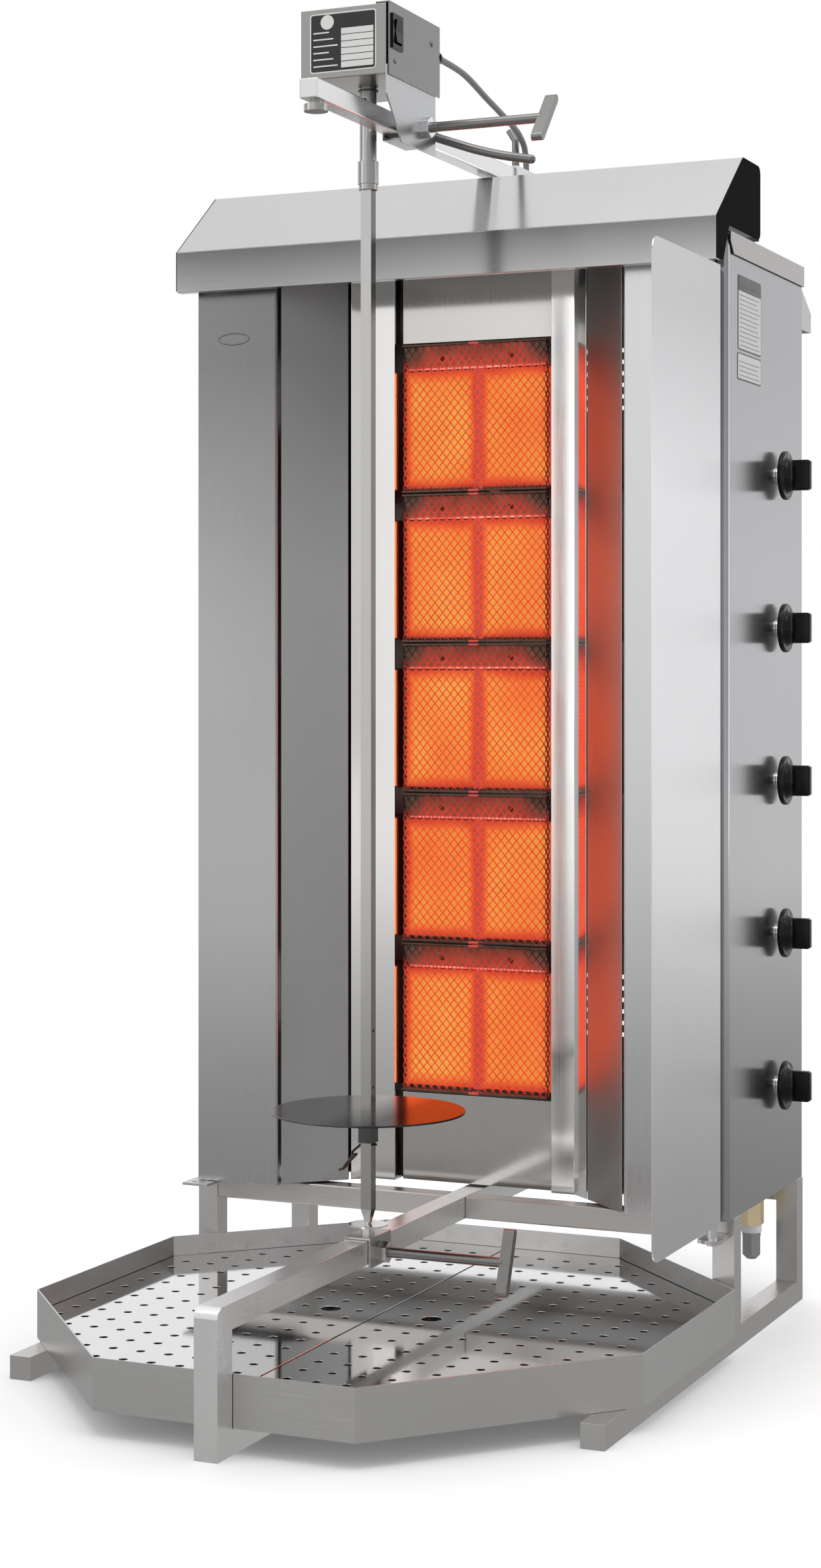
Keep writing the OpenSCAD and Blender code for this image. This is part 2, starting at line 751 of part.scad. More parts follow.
module spit_clip() {
    r = 1.6;
    knee = -8;
    // Short leg through the spit, and two legs side by side that hang down to the left
    color([0.4, 0.4, 0.4]) translate([0, 0, clip_z]) {
        cyl_x(knee, 8, 0, 0, r);
        box([knee - 1.8, -1.8, -1.65], [knee + 1.4, 1.8, 1.65]);
        translate([knee, 0, 0]) rotate([0, 180 + 38, 0]) cylinder(r = r, h = 35);
        translate([knee - 3, -2.6, -4]) rotate([0, 180 + 38, 0]) cylinder(r = r, h = 26);
    }
}

module bearing_cup() {
    color(steel) difference() {
        union() {
            translate([0, 0, cup_z]) cylinder(d = 15, h = 7, $fn = 6);
            translate([0, 0, cup_z + 6]) cylinder(r = 5.5, h = 3);
            translate([0, 0, cup_z + 8]) cylinder(r = 21, h = 1.6);
        }
        translate([0, 0, cup_z + 1.5]) cylinder(r = 3 + run_gap, h = 20);
    }
}

module saddle() {
    in = arm_half + 0.3;
    out = in + 2.5;
    color(steel) difference() {
        union() {
            box([-out, -28, rail_top + 0.2], [out, 25, cup_z]);
            box([-out, -28, 115], [-in, 25, cup_z]);
            box([in, -28, 115], [out, 25, cup_z]);
            translate([out - eps, 0, lower_clamp_z]) rotate([0, 90, 0])
                cylinder(d = nut_d, h = nut_h, $fn = 6);
        }
        cyl_x(in - 1, out + 10, 0, lower_clamp_z, clamp_r + run_gap);
    }
}

// Clamp screw along X with a flat T handle, tilted about its axis
module clamp_screw(x0, bar_x, tilt) {
    end = (t_bar_len - t_bar_w) / 2;
    cyl_x(x0, bar_x, 0, 0, clamp_r);
    translate([bar_x - 3, 0, 0]) rotate([tilt, 0, 0]) {
        box([0, -t_bar_w / 2, -end], [t_bar_t, t_bar_w / 2, end]);
        for (s = [-1, 1]) cyl_x(0, t_bar_t, 0, s * end, t_bar_w / 2);
    }
}

module lower_clamp() {
    color([0.7, 0.7, 0.69]) translate([0, 0, lower_clamp_z]) clamp_screw(arm_half + 0.3, 154, -21);
}
module upper_clamp() {
    color([0.7, 0.7, 0.69]) translate([0, clamp_y, clamp_z]) clamp_screw(arm_x + arm_side + 0.3, 184, -41);
}

// ---- tray ----

module tray() {
    color(steel) difference() {
        translate([0, 0, tray_z]) linear_extrude(tray_rim - tray_z) polygon(tray_outline);
        translate([0, 0, tray_z + sheet]) linear_extrude(tray_rim) polygon(inset(tray_outline, sheet));
    }
}

// Half of the perforated plate, standing on its folded edges; side is -1 on the left, 1 on the right
module tray_plate(side) {
    pitch_x = 32;
    pitch_y = 35.4;
    first_x = 27;
    rim = 12;               // distance kept from the plate's outline
    finger = [59, 32];
    finger_d = 22;
    base = tray_z + sheet + 0.3;
    color([0.8, 0.8, 0.8]) difference() {
        intersection() {
            difference() {
                translate([0, 0, base]) linear_extrude(plate_z - base) polygon(inset(tray_outline, 3));
                translate([0, 0, base - 1]) linear_extrude(plate_z - base - 0.5)
                    intersection() {
                        polygon(inset(tray_outline, 3 + sheet));
                        translate([side > 0 ? 2.5 : -402.5, -400]) square([400, 1000]);
                    }
            }
            translate([side > 0 ? 1 : -401, -400, 0]) cube([400, 1000, 200]);
        }
        for (i = [0:9], j = [-8:11]) let (x = first_x + i * pitch_x, y = j * pitch_y)
            if (depth_in([x, y], tray_outline) > rim && norm([x, y] - finger) > finger_d - 2)
                translate([side * x, y, plate_z - 5]) cylinder(d = drain_d, h = 8, $fn = 32);
        translate([side * finger[0], finger[1], plate_z - 5]) cylinder(d = finger_d, h = 8);
    }
}

// ---- wing ----

module wing() {
    z0 = 147;
    r = 15;
    rear = hinge_y - 8;
    color(steel) {
        in_yz(wing_x - sheet, wing_x) polygon(concat(
            arc([wing_front + r, z0 + r], r, 180, 270), [[rear, z0], [rear, wing_top]],
            arc([wing_front + r, wing_top - r], r, 90, 180)));
        // Folded rear edge, welded along the hinge rod
        translate([0, 0, z0]) linear_extrude(wing_top - z0)
            bent([[wing_x - sheet / 2, rear - sheet / 2], [hinge_x + 5, rear - sheet / 2],
                [hinge_x + 2, hinge_y - 3]]);
        translate([hinge_x, hinge_y, 121]) cylinder(r = hinge_r, h = wing_top - 121);
    }
}

side_frames();
cross_rails();
lower_arm();
back_panel();
floor_panel();
side_panel_left();
control_cover();
top_cover();
front_panels();
reflectors();
column_strips();
column_plates();
burner_bodies();
ceramic_tiles();
mesh_guards();
deflector_strips();
gas_manifold();
gas_valves();
knob_bezels();
gas_pipes();
inlet_fitting();
seal_ring();
inlet_plug();
valve_stem(0);  // valve_stem_1
valve_stem(1);  // valve_stem_2
valve_stem(2);  // valve_stem_3
valve_stem(3);  // valve_stem_4
valve_stem(4);  // valve_stem_5
knob(0);  // knob_1
knob(1);  // knob_2
knob(2);  // knob_3
knob(3);  // knob_4
knob(4);  // knob_5
hood_shell();
hood_ends();
mast();
upper_arm();
arm_end_stop();
cable();
carriage_bracket();
motor_casing();
motor_cover();
gear_motor();
bent_lever();
switch_housing();
rocker();
drive_tube();
retaining_ring();
coupling_sleeve();
spit();
meat_disc();
spit_clip();
bearing_cup();
saddle();
lower_clamp();
upper_clamp();
tray();
tray_plate(-1);  // tray_plate_left
tray_plate(1);  // tray_plate_right
wing();
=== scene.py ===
"""Looks of the upright spit broiler: metals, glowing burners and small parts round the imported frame.

Everything is in metres in the frame's own axes: +X to the controls, +Y to the back, +Z up.
"""
import math

import bmesh
import bpy
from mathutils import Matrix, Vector


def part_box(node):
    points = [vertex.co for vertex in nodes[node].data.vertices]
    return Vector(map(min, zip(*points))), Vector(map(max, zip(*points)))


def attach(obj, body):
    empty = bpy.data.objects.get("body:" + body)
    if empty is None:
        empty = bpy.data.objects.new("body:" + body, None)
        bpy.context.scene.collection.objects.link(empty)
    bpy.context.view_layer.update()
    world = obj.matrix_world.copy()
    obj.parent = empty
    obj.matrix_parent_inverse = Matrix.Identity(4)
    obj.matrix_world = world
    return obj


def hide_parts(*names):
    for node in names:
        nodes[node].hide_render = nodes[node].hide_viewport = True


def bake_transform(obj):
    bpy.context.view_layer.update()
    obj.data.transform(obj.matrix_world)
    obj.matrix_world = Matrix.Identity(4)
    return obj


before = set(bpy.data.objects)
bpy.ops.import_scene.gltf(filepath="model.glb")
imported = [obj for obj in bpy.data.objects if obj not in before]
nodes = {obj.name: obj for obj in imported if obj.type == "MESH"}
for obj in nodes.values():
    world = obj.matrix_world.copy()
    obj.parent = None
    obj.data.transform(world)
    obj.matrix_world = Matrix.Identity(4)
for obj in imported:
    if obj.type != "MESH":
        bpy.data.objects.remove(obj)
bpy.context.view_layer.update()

MM = 0.001
BURNERS = 5
TILE_W = 86 * MM
TILE_H = 136 * MM

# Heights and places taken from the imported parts
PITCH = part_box("knob_1")[1][2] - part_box("knob_2")[1][2]
TILE_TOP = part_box("ceramic_tiles")[1][2]
TILE_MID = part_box("ceramic_tiles")[1][0] - TILE_W / 2
GUARD_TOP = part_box("mesh_guards")[1][2]
ARM_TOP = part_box("upper_arm")[1][2]
HOOD_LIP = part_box("hood_shell")[0][2]
HOOD_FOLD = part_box("hood_shell")[1][2] - 78 * MM

# Stretch of the grain in metal: its features are about 1 / stretch metres long on each axis
ALONG_X = (9, 2400, 2400)
ALONG_Y = (2400, 9, 2400)
ALONG_Z = (2400, 2400, 9)
TURNED_GRAIN = (500, 500, 1500)


# ---- shader building ----

# Sockets of a colour mix node
MIX_FACTOR = 0
MIX_A = 6
MIX_B = 7
MIX_RESULT = 2

WHITE = (1.0, 1.0, 1.0)


class Nodes:
    """A node tree, and short calls that add nodes to it."""

    def __init__(self, tree, place):
        self.tree = tree
        self.place_node = self.add("ShaderNodeTexCoord")
        self.place = self.place_node.outputs[place]

    def add(self, kind, **settings):
        node = self.tree.nodes.new(kind)
        for name, value in settings.items():
            setattr(node, name, value)
        return node

    def put(self, socket, value):
        if isinstance(value, bpy.types.NodeSocket):
            self.tree.links.new(value, socket)
        else:
            socket.default_value = value

    def part(self, vector, index):
        """One of the three numbers of a vector."""
        split = self.add("ShaderNodeSeparateXYZ")
        self.put(split.inputs[0], vector)
        return split.outputs[index]

    def axis(self, index):
        """The place along X, Y or Z."""
        return self.part(self.place, index)

    def aside(self):
        """The distance from the plane x = 0."""
        return self.math("ABSOLUTE", self.axis(0))

    def facing(self, index):
        """How far the surface turns towards +X, +Y or +Z, from -1 to 1."""
        return self.part(self.place_node.outputs["Normal"], index)

    def noise(self, stretch, detail=3.0, rough=0.55):
        """Noise whose features are about 1 / stretch metres long on each axis."""
        mapping = self.add("ShaderNodeMapping")
        self.put(mapping.inputs["Vector"], self.place)
        mapping.inputs["Scale"].default_value = stretch
        noise = self.add("ShaderNodeTexNoise")
        noise.inputs["Scale"].default_value = 1.0
        noise.inputs["Detail"].default_value = detail
        noise.inputs["Roughness"].default_value = rough
        self.put(noise.inputs["Vector"], mapping.outputs["Vector"])
        return noise.outputs["Fac"]

    def math(self, operation, a, b=0.0):
        node = self.add("ShaderNodeMath", operation=operation)
        self.put(node.inputs[0], a)
        self.put(node.inputs[1], b)
        return node.outputs[0]

    def span(self, value, low, high, to_low=0.0, to_high=1.0):
        """to_low where the value is low, to_high where it is high, and in between them in between."""
        node = self.add("ShaderNodeMapRange")
        for socket, setting in zip(node.inputs, (value, low, high, to_low, to_high)):
            self.put(socket, setting)
        return node.outputs["Result"]

    def stretched(self, noise, to_low, to_high):
        """Noise, which mostly lies between 0.3 and 0.7, spread over a range."""
        return self.span(noise, 0.3, 0.7, to_low, to_high)

    def ramp(self, fac, *stops):
        """Colours at positions from 0 to 1, blended between them."""
        node = self.add("ShaderNodeValToRGB")
        elements = node.color_ramp.elements
        while len(elements) < len(stops):
            elements.new(0.5)
        for element, (position, colour) in zip(elements, stops):
            element.position = position
            element.color = (*colour, 1.0)
        self.put(node.inputs["Fac"], fac)
        return node.outputs["Color"]

    def mix(self, fac, a, b, **settings):
        """Colour a where fac is 0, and b where it is 1."""
        node = self.add("ShaderNodeMix", data_type="RGBA", **settings)
        for socket, value in ((MIX_FACTOR, fac), (MIX_A, a), (MIX_B, b)):
            self.put(node.inputs[socket], (*value, 1.0) if isinstance(value, tuple) else value)
        return node.outputs[MIX_RESULT]

    def times(self, colour, factor):
        node = self.add("ShaderNodeVectorMath", operation="SCALE")
        self.put(node.inputs[0], colour)
        self.put(node.inputs["Scale"], factor)
        return node.outputs[0]

    def seen(self):
        """1 where the camera looks straight at the surface, 0 in reflections and bounced light."""
        return self.add("ShaderNodeLightPath").outputs["Is Camera Ray"]


class Shader(Nodes):
    """One material, in the object's own places."""

    def __init__(self, name):
        self.material = bpy.data.materials.new(name)
        self.material.use_nodes = True
        super().__init__(self.material.node_tree, "Object")
        self.surface = self.tree.nodes["Principled BSDF"]

    def set(self, **values):
        for name, value in values.items():
            self.put(self.surface.inputs[name.replace("_", " ")], value)
        return self

    def bump(self, height, depth, strength=0.4):
        node = self.add("ShaderNodeBump")
        node.inputs["Strength"].default_value = strength
        node.inputs["Distance"].default_value = depth
        self.put(node.inputs["Height"], height)
        self.put(self.surface.inputs["Normal"], node.outputs["Normal"])
        return self


def shade(colour, factor):
    return tuple(min(1.0, c * factor) for c in colour)


def grey(level):
    return (level, level, level)


SMEAR_STRETCH = (4, 4, 4)
GRAIN_DEPTH = 0.01 * MM
GRAIN_GLOSS = 0.04
SMEAR_GLOSS = 0.03


def brushed(name, grain, colour, rough=0.3, contrast=0.06, stain=0.04, spread=0.5, painted_shade_by_height=None, right=None,
            side=None, under=None, edge=None):
    """Metal sheet with fine grain, uneven gloss and faint smears. spread stretches its reflections.

    painted_shade_by_height are (height, factor) stops for its brightness: painted shade that darkens it by
    height.
    right is (x, x, factor): past the second x the brightness is factor, painted light where factor is above
    1 and painted shade where it is below 1. side is the brightness of faces turned to +X, painted shade when
    it is below 1. under is the strength of a faint painted glow on faces turned down or back, met only by
    reflections.
    edge is (x, x, factor) for reflections at a grazing angle: past the second x their tint falls to factor,
    a painted shade on the reflections.
    """
    s = Shader(name)
    fine = s.noise(grain, detail=2.0, rough=0.7)
    smear = s.noise(SMEAR_STRETCH, detail=4.0)
    tone = s.math("ADD", s.math("MULTIPLY", fine, 2 * contrast), s.math("MULTIPLY", smear, 2 * stain))
    swing = contrast + stain
    face = s.mix(s.span(tone, 0, 2 * swing), shade(colour, 1 - swing), shade(colour, 1 + swing))
    factor = 1.0
    # Painted shade: brightness set by height
    if painted_shade_by_height:
        low = painted_shade_by_height[0][0]
        high = painted_shade_by_height[-1][0]
        stops = [((z - low) / (high - low), grey(level)) for z, level in painted_shade_by_height]
        factor = s.ramp(s.span(s.axis(2), low, high), *stops)
    # Painted brightness past an x: light where the factor is above 1, shade where it is below 1
    if right:
        start, end, level = right
        factor = s.span(s.axis(0), start, end, factor, level)
    # Painted shade on faces turned to +X
    if side:
        factor = s.math("MULTIPLY", factor, s.span(s.facing(0), 0.3, 0.7, 1.0, side))
    if painted_shade_by_height or right or side:
        face = s.times(face, factor)
    # Painted shade on the reflections past an x
    if edge:
        start, end, level = edge
        s.set(Specular_Tint=s.ramp(s.span(s.axis(0), start, end), (0.0, WHITE), (1.0, grey(level))))
    # Painted glow on faces turned down or back, seen only in reflections
    if under:
        inner = s.span(s.math("SUBTRACT", s.facing(1), s.facing(2)), 0.3, 0.6, 0.0, under)
        s.set(Emission_Color=(*WHITE, 1.0),
              Emission_Strength=s.math("MULTIPLY", inner, s.math("SUBTRACT", 1.0, s.seen())))
    gloss = s.math("ADD", s.span(fine, 0.25, 0.75, rough - GRAIN_GLOSS, rough + GRAIN_GLOSS),
                   s.stretched(smear, -SMEAR_GLOSS, SMEAR_GLOSS))
    s.set(Base_Color=face, Metallic=1.0, Roughness=gloss)
    s.bump(fine, GRAIN_DEPTH, 0.25)
    if spread:
        across = (1.0, 0.0, 0.0) if grain == ALONG_Z else (0.0, 0.0, 1.0)
        tangent = s.add("ShaderNodeCombineXYZ")
        for socket, value in zip(tangent.inputs, across):
            socket.default_value = value
        s.set(Anisotropic=spread, Tangent=tangent.outputs[0])
    return s.material


def moulded(name, colour, rough, speckle=400, gloss=0.5):
    """Moulded plastic or enamel with a faint texture and worn patches of gloss."""
    s = Shader(name)
    fine = s.noise(grey(speckle), detail=3.0)
    broad = s.noise(grey(25), detail=2.0)
    s.set(Base_Color=s.mix(broad, shade(colour, 0.85), shade(colour, 1.15)),
          Roughness=s.stretched(broad, rough * 0.8, rough * 1.25), Specular_IOR_Level=gloss)
    return s.bump(fine, 0.04 * MM, 0.3).material


# ---- glowing burners ----

HOLE_PITCH = 3.4 * MM
HOLE_DEPTH = 0.6 * MM
SCALE_DEPTH = 0.1 * MM
SCALE_STRETCH = (60, 60, 60)
TILE_LIGHT_SEEN = 0.65
TILE_LIGHT_CAST = 3.3


def module_height(s, top):
    """Distance below the top of its own burner, at each point."""
    whole_burners = 10 * PITCH
    below = s.math("ADD", s.math("SUBTRACT", top, s.axis(2)), whole_burners)
    return s.math("MODULO", below, PITCH)


def off_centre(s, distance, middle, half):
    """0 in the middle of a tile, 1 at its edge."""
    return s.math("DIVIDE", s.math("ABSOLUTE", s.math("SUBTRACT", distance, middle)), half)


def wave(s, index):
    """A wave along an axis with the pitch of the burner holes."""
    return s.math("SINE", s.math("MULTIPLY", s.axis(index), 2 * math.pi / HOLE_PITCH))


def glowing_tiles():
    """Porous tiles, hottest in patches in their middle, with rows of fine burner holes."""
    s = Shader("ceramic_glow")
    u = off_centre(s, s.aside(), TILE_MID, TILE_W / 2)
    v = off_centre(s, module_height(s, TILE_TOP), TILE_H / 2, TILE_H / 2)
    rim = s.math("MAXIMUM", u, v)
    patches = s.noise((11, 11, 8), detail=2.0)
    heat = s.math("SUBTRACT", s.stretched(patches, 0.62, 0.95), s.span(rim, 0.78, 1.0, 0.0, 0.6))
    dots = s.math("MULTIPLY", wave(s, 0), wave(s, 2))
    glow = s.ramp(s.math("ADD", heat, s.math("MULTIPLY", dots, 0.10)),
                  (0.0, (0.30, 0.012, 0.006)), (0.3, (0.72, 0.045, 0.012)), (0.6, (1.0, 0.24, 0.03)),
                  (0.85, (1.0, 0.40, 0.05)), (1.0, (1.0, 0.58, 0.09)))
    # The tiles light their surroundings more strongly than they show to the camera
    s.set(Base_Color=(0.3, 0.12, 0.06, 1), Roughness=0.9,
          Emission_Color=s.mix(s.seen(), (1.0, 0.12, 0.02), glow),
          Emission_Strength=s.span(s.seen(), 0, 1, TILE_LIGHT_CAST, TILE_LIGHT_SEEN))
    return s.bump(dots, HOLE_DEPTH, 0.8).material


def burner_heat(s, patches):
    """1 in the hot middle of each burner, falling to 0 at its rim and in its upper corners."""
    beside = s.span(s.aside(), 60 * MM, 93 * MM)
    down = module_height(s, GUARD_TOP)
    above = s.span(down, 36 * MM, 2 * MM)
    upper = s.math("MULTIPLY", above, 1.25)
    corner = s.math("MULTIPLY", s.math("ADD", s.math("MULTIPLY", beside, 0.9), 0.42), upper)
    low_rim = s.span(down, PITCH - 12 * MM, PITCH - 2 * MM)
    side_rim = s.span(s.aside(), 83 * MM, 94 * MM)
    cold = s.math("MAXIMUM", s.math("MAXIMUM", corner, low_rim), side_rim)
    return s.math("SUBTRACT", s.stretched(patches, 0.85, 1.0), cold)


def glowing_mesh():
    """Wire mesh that glows in front of the tiles and darkens towards its frame."""
    s = Shader("mesh_glow")
    uneven = s.noise((30, 30, 30), detail=2.0)
    glow = s.ramp(burner_heat(s, uneven), (0.0, (0.003, 0.001, 0.0005)), (0.35, (0.13, 0.010, 0.006)),
                  (0.7, (0.60, 0.034, 0.012)), (1.0, (0.80, 0.065, 0.018)))
    s.set(Base_Color=s.mix(uneven, (0.02, 0.014, 0.011), (0.05, 0.035, 0.027)), Metallic=0.7, Roughness=0.5,
          Emission_Color=glow, Emission_Strength=1.0)
    return s.bump(s.noise((900, 900, 900)), SCALE_DEPTH).material


def glowing_deflector():
    """Sloping strip over the tiles: brown scale above, dull red where the flames heat it."""
    s = Shader("deflector_glow")
    scale = s.noise(SCALE_STRETCH, detail=5.0)
    glow = s.ramp(burner_heat(s, scale), (0.0, (0.004, 0.003, 0.002)), (0.4, (0.06, 0.008, 0.005)),
                  (0.9, (0.24, 0.014, 0.008)), (1.0, (0.34, 0.02, 0.01)))
    s.set(Base_Color=s.ramp(scale, (0.3, (0.17, 0.125, 0.09)), (0.7, (0.27, 0.20, 0.145))), Metallic=0.5,
          Roughness=0.55, Emission_Strength=1.0, Emission_Color=glow)
    return s.bump(scale, SCALE_DEPTH).material


def lip_painted_reflection():
    """Rolled lower edge of the strips over the tiles, with a pale pink painted reflection of the glowing
    mesh, given as glow.
    """
    s = Shader("lip_painted_reflection")
    patches = s.noise((45, 45, 45), detail=2.0)
    ends = s.span(s.aside(), 70 * MM, 90 * MM, 1.0, 0.35)
    s.set(Base_Color=(0.3, 0.2, 0.18, 1), Metallic=0.5, Roughness=0.5,
          Emission_Color=s.ramp(patches, (0.35, (0.55, 0.06, 0.05)), (0.65, (0.85, 0.28, 0.24))),
          Emission_Strength=s.math("MULTIPLY", ends, 0.95))
    return s.material


def heated_steel():
    """Dark scaled steel of the burner boxes, with a dull glow on the bar between the two tiles."""
    s = Shader("burner_case_steel")
    scale = s.noise(SCALE_STRETCH, detail=5.0)
    bar = s.span(s.aside(), 5 * MM, 7 * MM, 1.0, 0.0)
    s.set(Base_Color=s.ramp(scale, (0.3, (0.06, 0.04, 0.03)), (0.7, (0.14, 0.09, 0.065))), Metallic=0.85,
          Roughness=s.stretched(scale, 0.35, 0.6), Emission_Color=(0.40, 0.035, 0.03, 1),
          Emission_Strength=s.math("ADD", s.math("MULTIPLY", bar, 1.15), 0.02))
    return s.bump(scale, SCALE_DEPTH).material


# ---- looks of the parts ----

MATERIALS = {
    # Housing sheets
    # Front and side panels: painted shade darkens them towards the top, and painted light brightens them
    # past x = 0.05
    "sheet_z": brushed("sheet_vertical_grain", ALONG_Z, (0.50, 0.50, 0.505), 0.27, contrast=0.03,
                       painted_shade_by_height=((0.45, 1.0), (1.10, 0.34)), right=(0.0, 0.05, 1.19)),
    "back": brushed("back_sheet", ALONG_Z, (0.46, 0.46, 0.465), 0.3, contrast=0.04, stain=0.06),
    "sheet_x": brushed("sheet_horizontal_grain", ALONG_X, (0.60, 0.60, 0.605)),
    "plate": brushed("column_plate_sheet", ALONG_Z, (0.60, 0.58, 0.56), 0.12, spread=0.4),
    # Reflectors: painted shade darkens them towards the top
    "reflector": brushed("reflector_sheet", ALONG_X, (0.42, 0.42, 0.415), contrast=0.14, spread=0.85,
                         painted_shade_by_height=((0.85, 1.0), (1.10, 0.66))),
    # Hood: painted shade darkens its front from the lip up to the fold, most just under the fold, and a
    # painted glow lights its underside in reflections
    "hood": brushed("hood_sheet", ALONG_X, grey(0.64), 0.2, spread=0.8, under=0.14,
                    painted_shade_by_height=((HOOD_LIP, 0.62), (HOOD_FOLD - 1 * MM, 0.30), (HOOD_FOLD + 1 * MM, 1.0))),
    # Wing: painted shade darkens it towards the top
    "wing": brushed("wing_sheet", ALONG_Z, (0.74, 0.74, 0.75), 0.29, contrast=0.02,
                    painted_shade_by_height=((0.92, 1.0), (1.12, 0.70))),
    "lid": brushed("lid_sheet", ALONG_Y, (0.36, 0.35, 0.34)),
    # Control cover: painted shade darkens it towards the top
    "cover": brushed("cover_sheet", ALONG_Z, (0.41, 0.413, 0.42), 0.20, contrast=0.02,
                     painted_shade_by_height=((0.85, 1.0), (1.12, 0.80))),
    # Strips and bezels: painted light brightens them past x = 0.05
    "bright": brushed("bright_strip", ALONG_Z, (0.80, 0.79, 0.775), 0.10, contrast=0.02, spread=0.2,
                      right=(0.0, 0.05, 1.22)),
    "mirror": brushed("polished_plate", ALONG_X, (0.74, 0.74, 0.735), 0.05, contrast=0.02, spread=0.0),
    "tray": brushed("tray_sheet", ALONG_X, (0.63, 0.62, 0.61), 0.28),
    # Tubes of the frame
    "tube_x": brushed("frame_tube_x", ALONG_X, (0.52, 0.50, 0.48), stain=0.08),
    "tube_y": brushed("frame_tube_y", ALONG_Y, (0.58, 0.565, 0.55), stain=0.08),
    "arm": brushed("arm_tube", ALONG_Y, (0.97, 0.95, 0.93), 0.25, stain=0.05),
    "upper_arm": brushed("upper_arm_tube", ALONG_Y, (0.76, 0.755, 0.75), 0.25, stain=0.05),
    # Mast: painted shade darkens it above the upper arm's top
    "mast": brushed("mast_tube", ALONG_Y, (0.66, 0.655, 0.65), 0.25, stain=0.05,
                    painted_shade_by_height=((ARM_TOP + 3 * MM, 1.0), (ARM_TOP + 4 * MM, 0.30))),
    # Carriage, motor box and spit
    # Carriage: painted light brightens it past x = 50.6 mm
    "carriage": brushed("carriage_sheet", ALONG_X, (0.48, 0.485, 0.495), 0.27, stain=0.06,
                        right=(50.2 * MM, 50.6 * MM, 1.6)),
    # Saddle: painted light brightens it past x = 20.9 mm
    "saddle": brushed("saddle_sheet", ALONG_X, (0.52, 0.51, 0.50), 0.27, stain=0.06,
                      right=(20.5 * MM, 20.9 * MM, 1.5)),
    "cup": brushed("bearing_cup_steel", (400, 400, 400), (0.85, 0.84, 0.83), 0.12, spread=0.0),
    "lever": brushed("lever_bar", TURNED_GRAIN, (0.20, 0.195, 0.19), 0.28, spread=0.0),
    "sleeve": brushed("sleeve_bar", ALONG_X, (0.38, 0.375, 0.365), 0.28, spread=0.0),
    "box": brushed("motor_box_sheet", ALONG_X, (0.34, 0.333, 0.32)),
    # Motor cover: the casing's steel made darker, painted shade on the box's right side
    "box_side_shaded": brushed("motor_cover_sheet", ALONG_Y, (0.23, 0.226, 0.222)),
    "turned": brushed("turned_bar", TURNED_GRAIN, (0.225, 0.22, 0.212), spread=0.0),
    # Spit: painted shade darkens its faces turned to +X
    "spit": brushed("spit_bar", ALONG_Z, (0.52, 0.51, 0.49), 0.18, spread=0.3, side=0.38),
    # Meat disc: painted shade darkens it and dims its reflections past x = 0.04
    "disc": brushed("disc_sheet", (200, 200, 1500), (0.15, 0.148, 0.145), 0.18, spread=0.0,
                    right=(-0.02, 0.04, 0.38), edge=(-0.02, 0.04, 0.48)),
    "dark_wire": brushed("blackened_wire", (400, 400, 400), (0.07, 0.06, 0.055), 0.35, spread=0.0),
    "motor": moulded("motor_paint", (0.09, 0.095, 0.10), 0.45),
    "retainer": moulded("oiled_spring_steel", (0.02, 0.02, 0.02), 0.4, 900),
    "cable": moulded("cable_jacket", (0.15, 0.15, 0.16), 0.38, 700),
    # Gas fittings and burners
    "plated": brushed("plated_steel", (300, 300, 300), (0.40, 0.41, 0.41), 0.36, spread=0.0),
    "brass": brushed("turned_brass", (200, 200, 2000), (0.98, 0.79, 0.50), 0.38, spread=0.0),
    "white": moulded("white_seal", (0.98, 0.98, 0.97), 0.5),
    "burner_case": heated_steel(),
    # Painted pink reflection of the glowing mesh on the strips' rolled lower edges
    "lip_painted_reflection": lip_painted_reflection(),
    "deflector": glowing_deflector(),
    "tiles": glowing_tiles(),
    "mesh": glowing_mesh(),
    # Black mouldings, plates and labels
    "black": moulded("black_moulding", (0.004, 0.004, 0.0045), 0.20, gloss=0.22),
    "enamel": moulded("black_enamel", (0.016, 0.016, 0.0165), 0.6, 900, gloss=0.0),
    "grip_face": moulded("grip_face", (0.008, 0.008, 0.0085), 0.38, gloss=0.25),
    "print_black": moulded("plate_black", (0.006, 0.006, 0.007), 0.3),
    "print_white": moulded("plate_white", (0.62, 0.62, 0.60), 0.4),
    "label": brushed("label_foil", ALONG_Z, (0.53, 0.53, 0.535), 0.38, spread=0.0),
    "ink": moulded("label_ink", (0.10, 0.10, 0.105), 0.5),
}

NODE_LOOKS = {
    "tube_y": "side_frames",
    "tube_x": "cross_rails",
    "arm": "lower_arm",
    "upper_arm": "upper_arm",
    "mast": "mast",
    "carriage": "carriage_bracket",
    "saddle": "saddle",
    "cup": "bearing_cup",
    "retainer": "retaining_ring",
    "sheet_z": "side_panel_left front_panels",
    "back": "back_panel",
    "plate": "column_plates",
    "sheet_x": "floor_panel",
    "lid": "top_cover",
    "cover": "control_cover",
    "reflector": "reflectors",
    "bright": "column_strips knob_bezels",
    "burner_case": "burner_bodies",
    "tiles": "ceramic_tiles",
    "deflector": "deflector_strips",
    "plated": "gas_manifold gas_pipes inlet_plug",
    "brass": "gas_valves inlet_fitting",
    "white": "seal_ring",
    "hood": "hood_shell",
    "enamel": "hood_ends",
    "sleeve": "drive_tube coupling_sleeve arm_end_stop",
    "turned": "lower_clamp upper_clamp valve_stem_1 valve_stem_2 valve_stem_3 valve_stem_4 valve_stem_5",
    "box": "motor_casing",
    "box_side_shaded": "motor_cover",
    "motor": "gear_motor",
    "black": "switch_housing rocker",
    "spit": "spit",
    "disc": "meat_disc",
    "tray": "tray",
    "mirror": "tray_plate_left tray_plate_right",
    "wing": "wing",
}

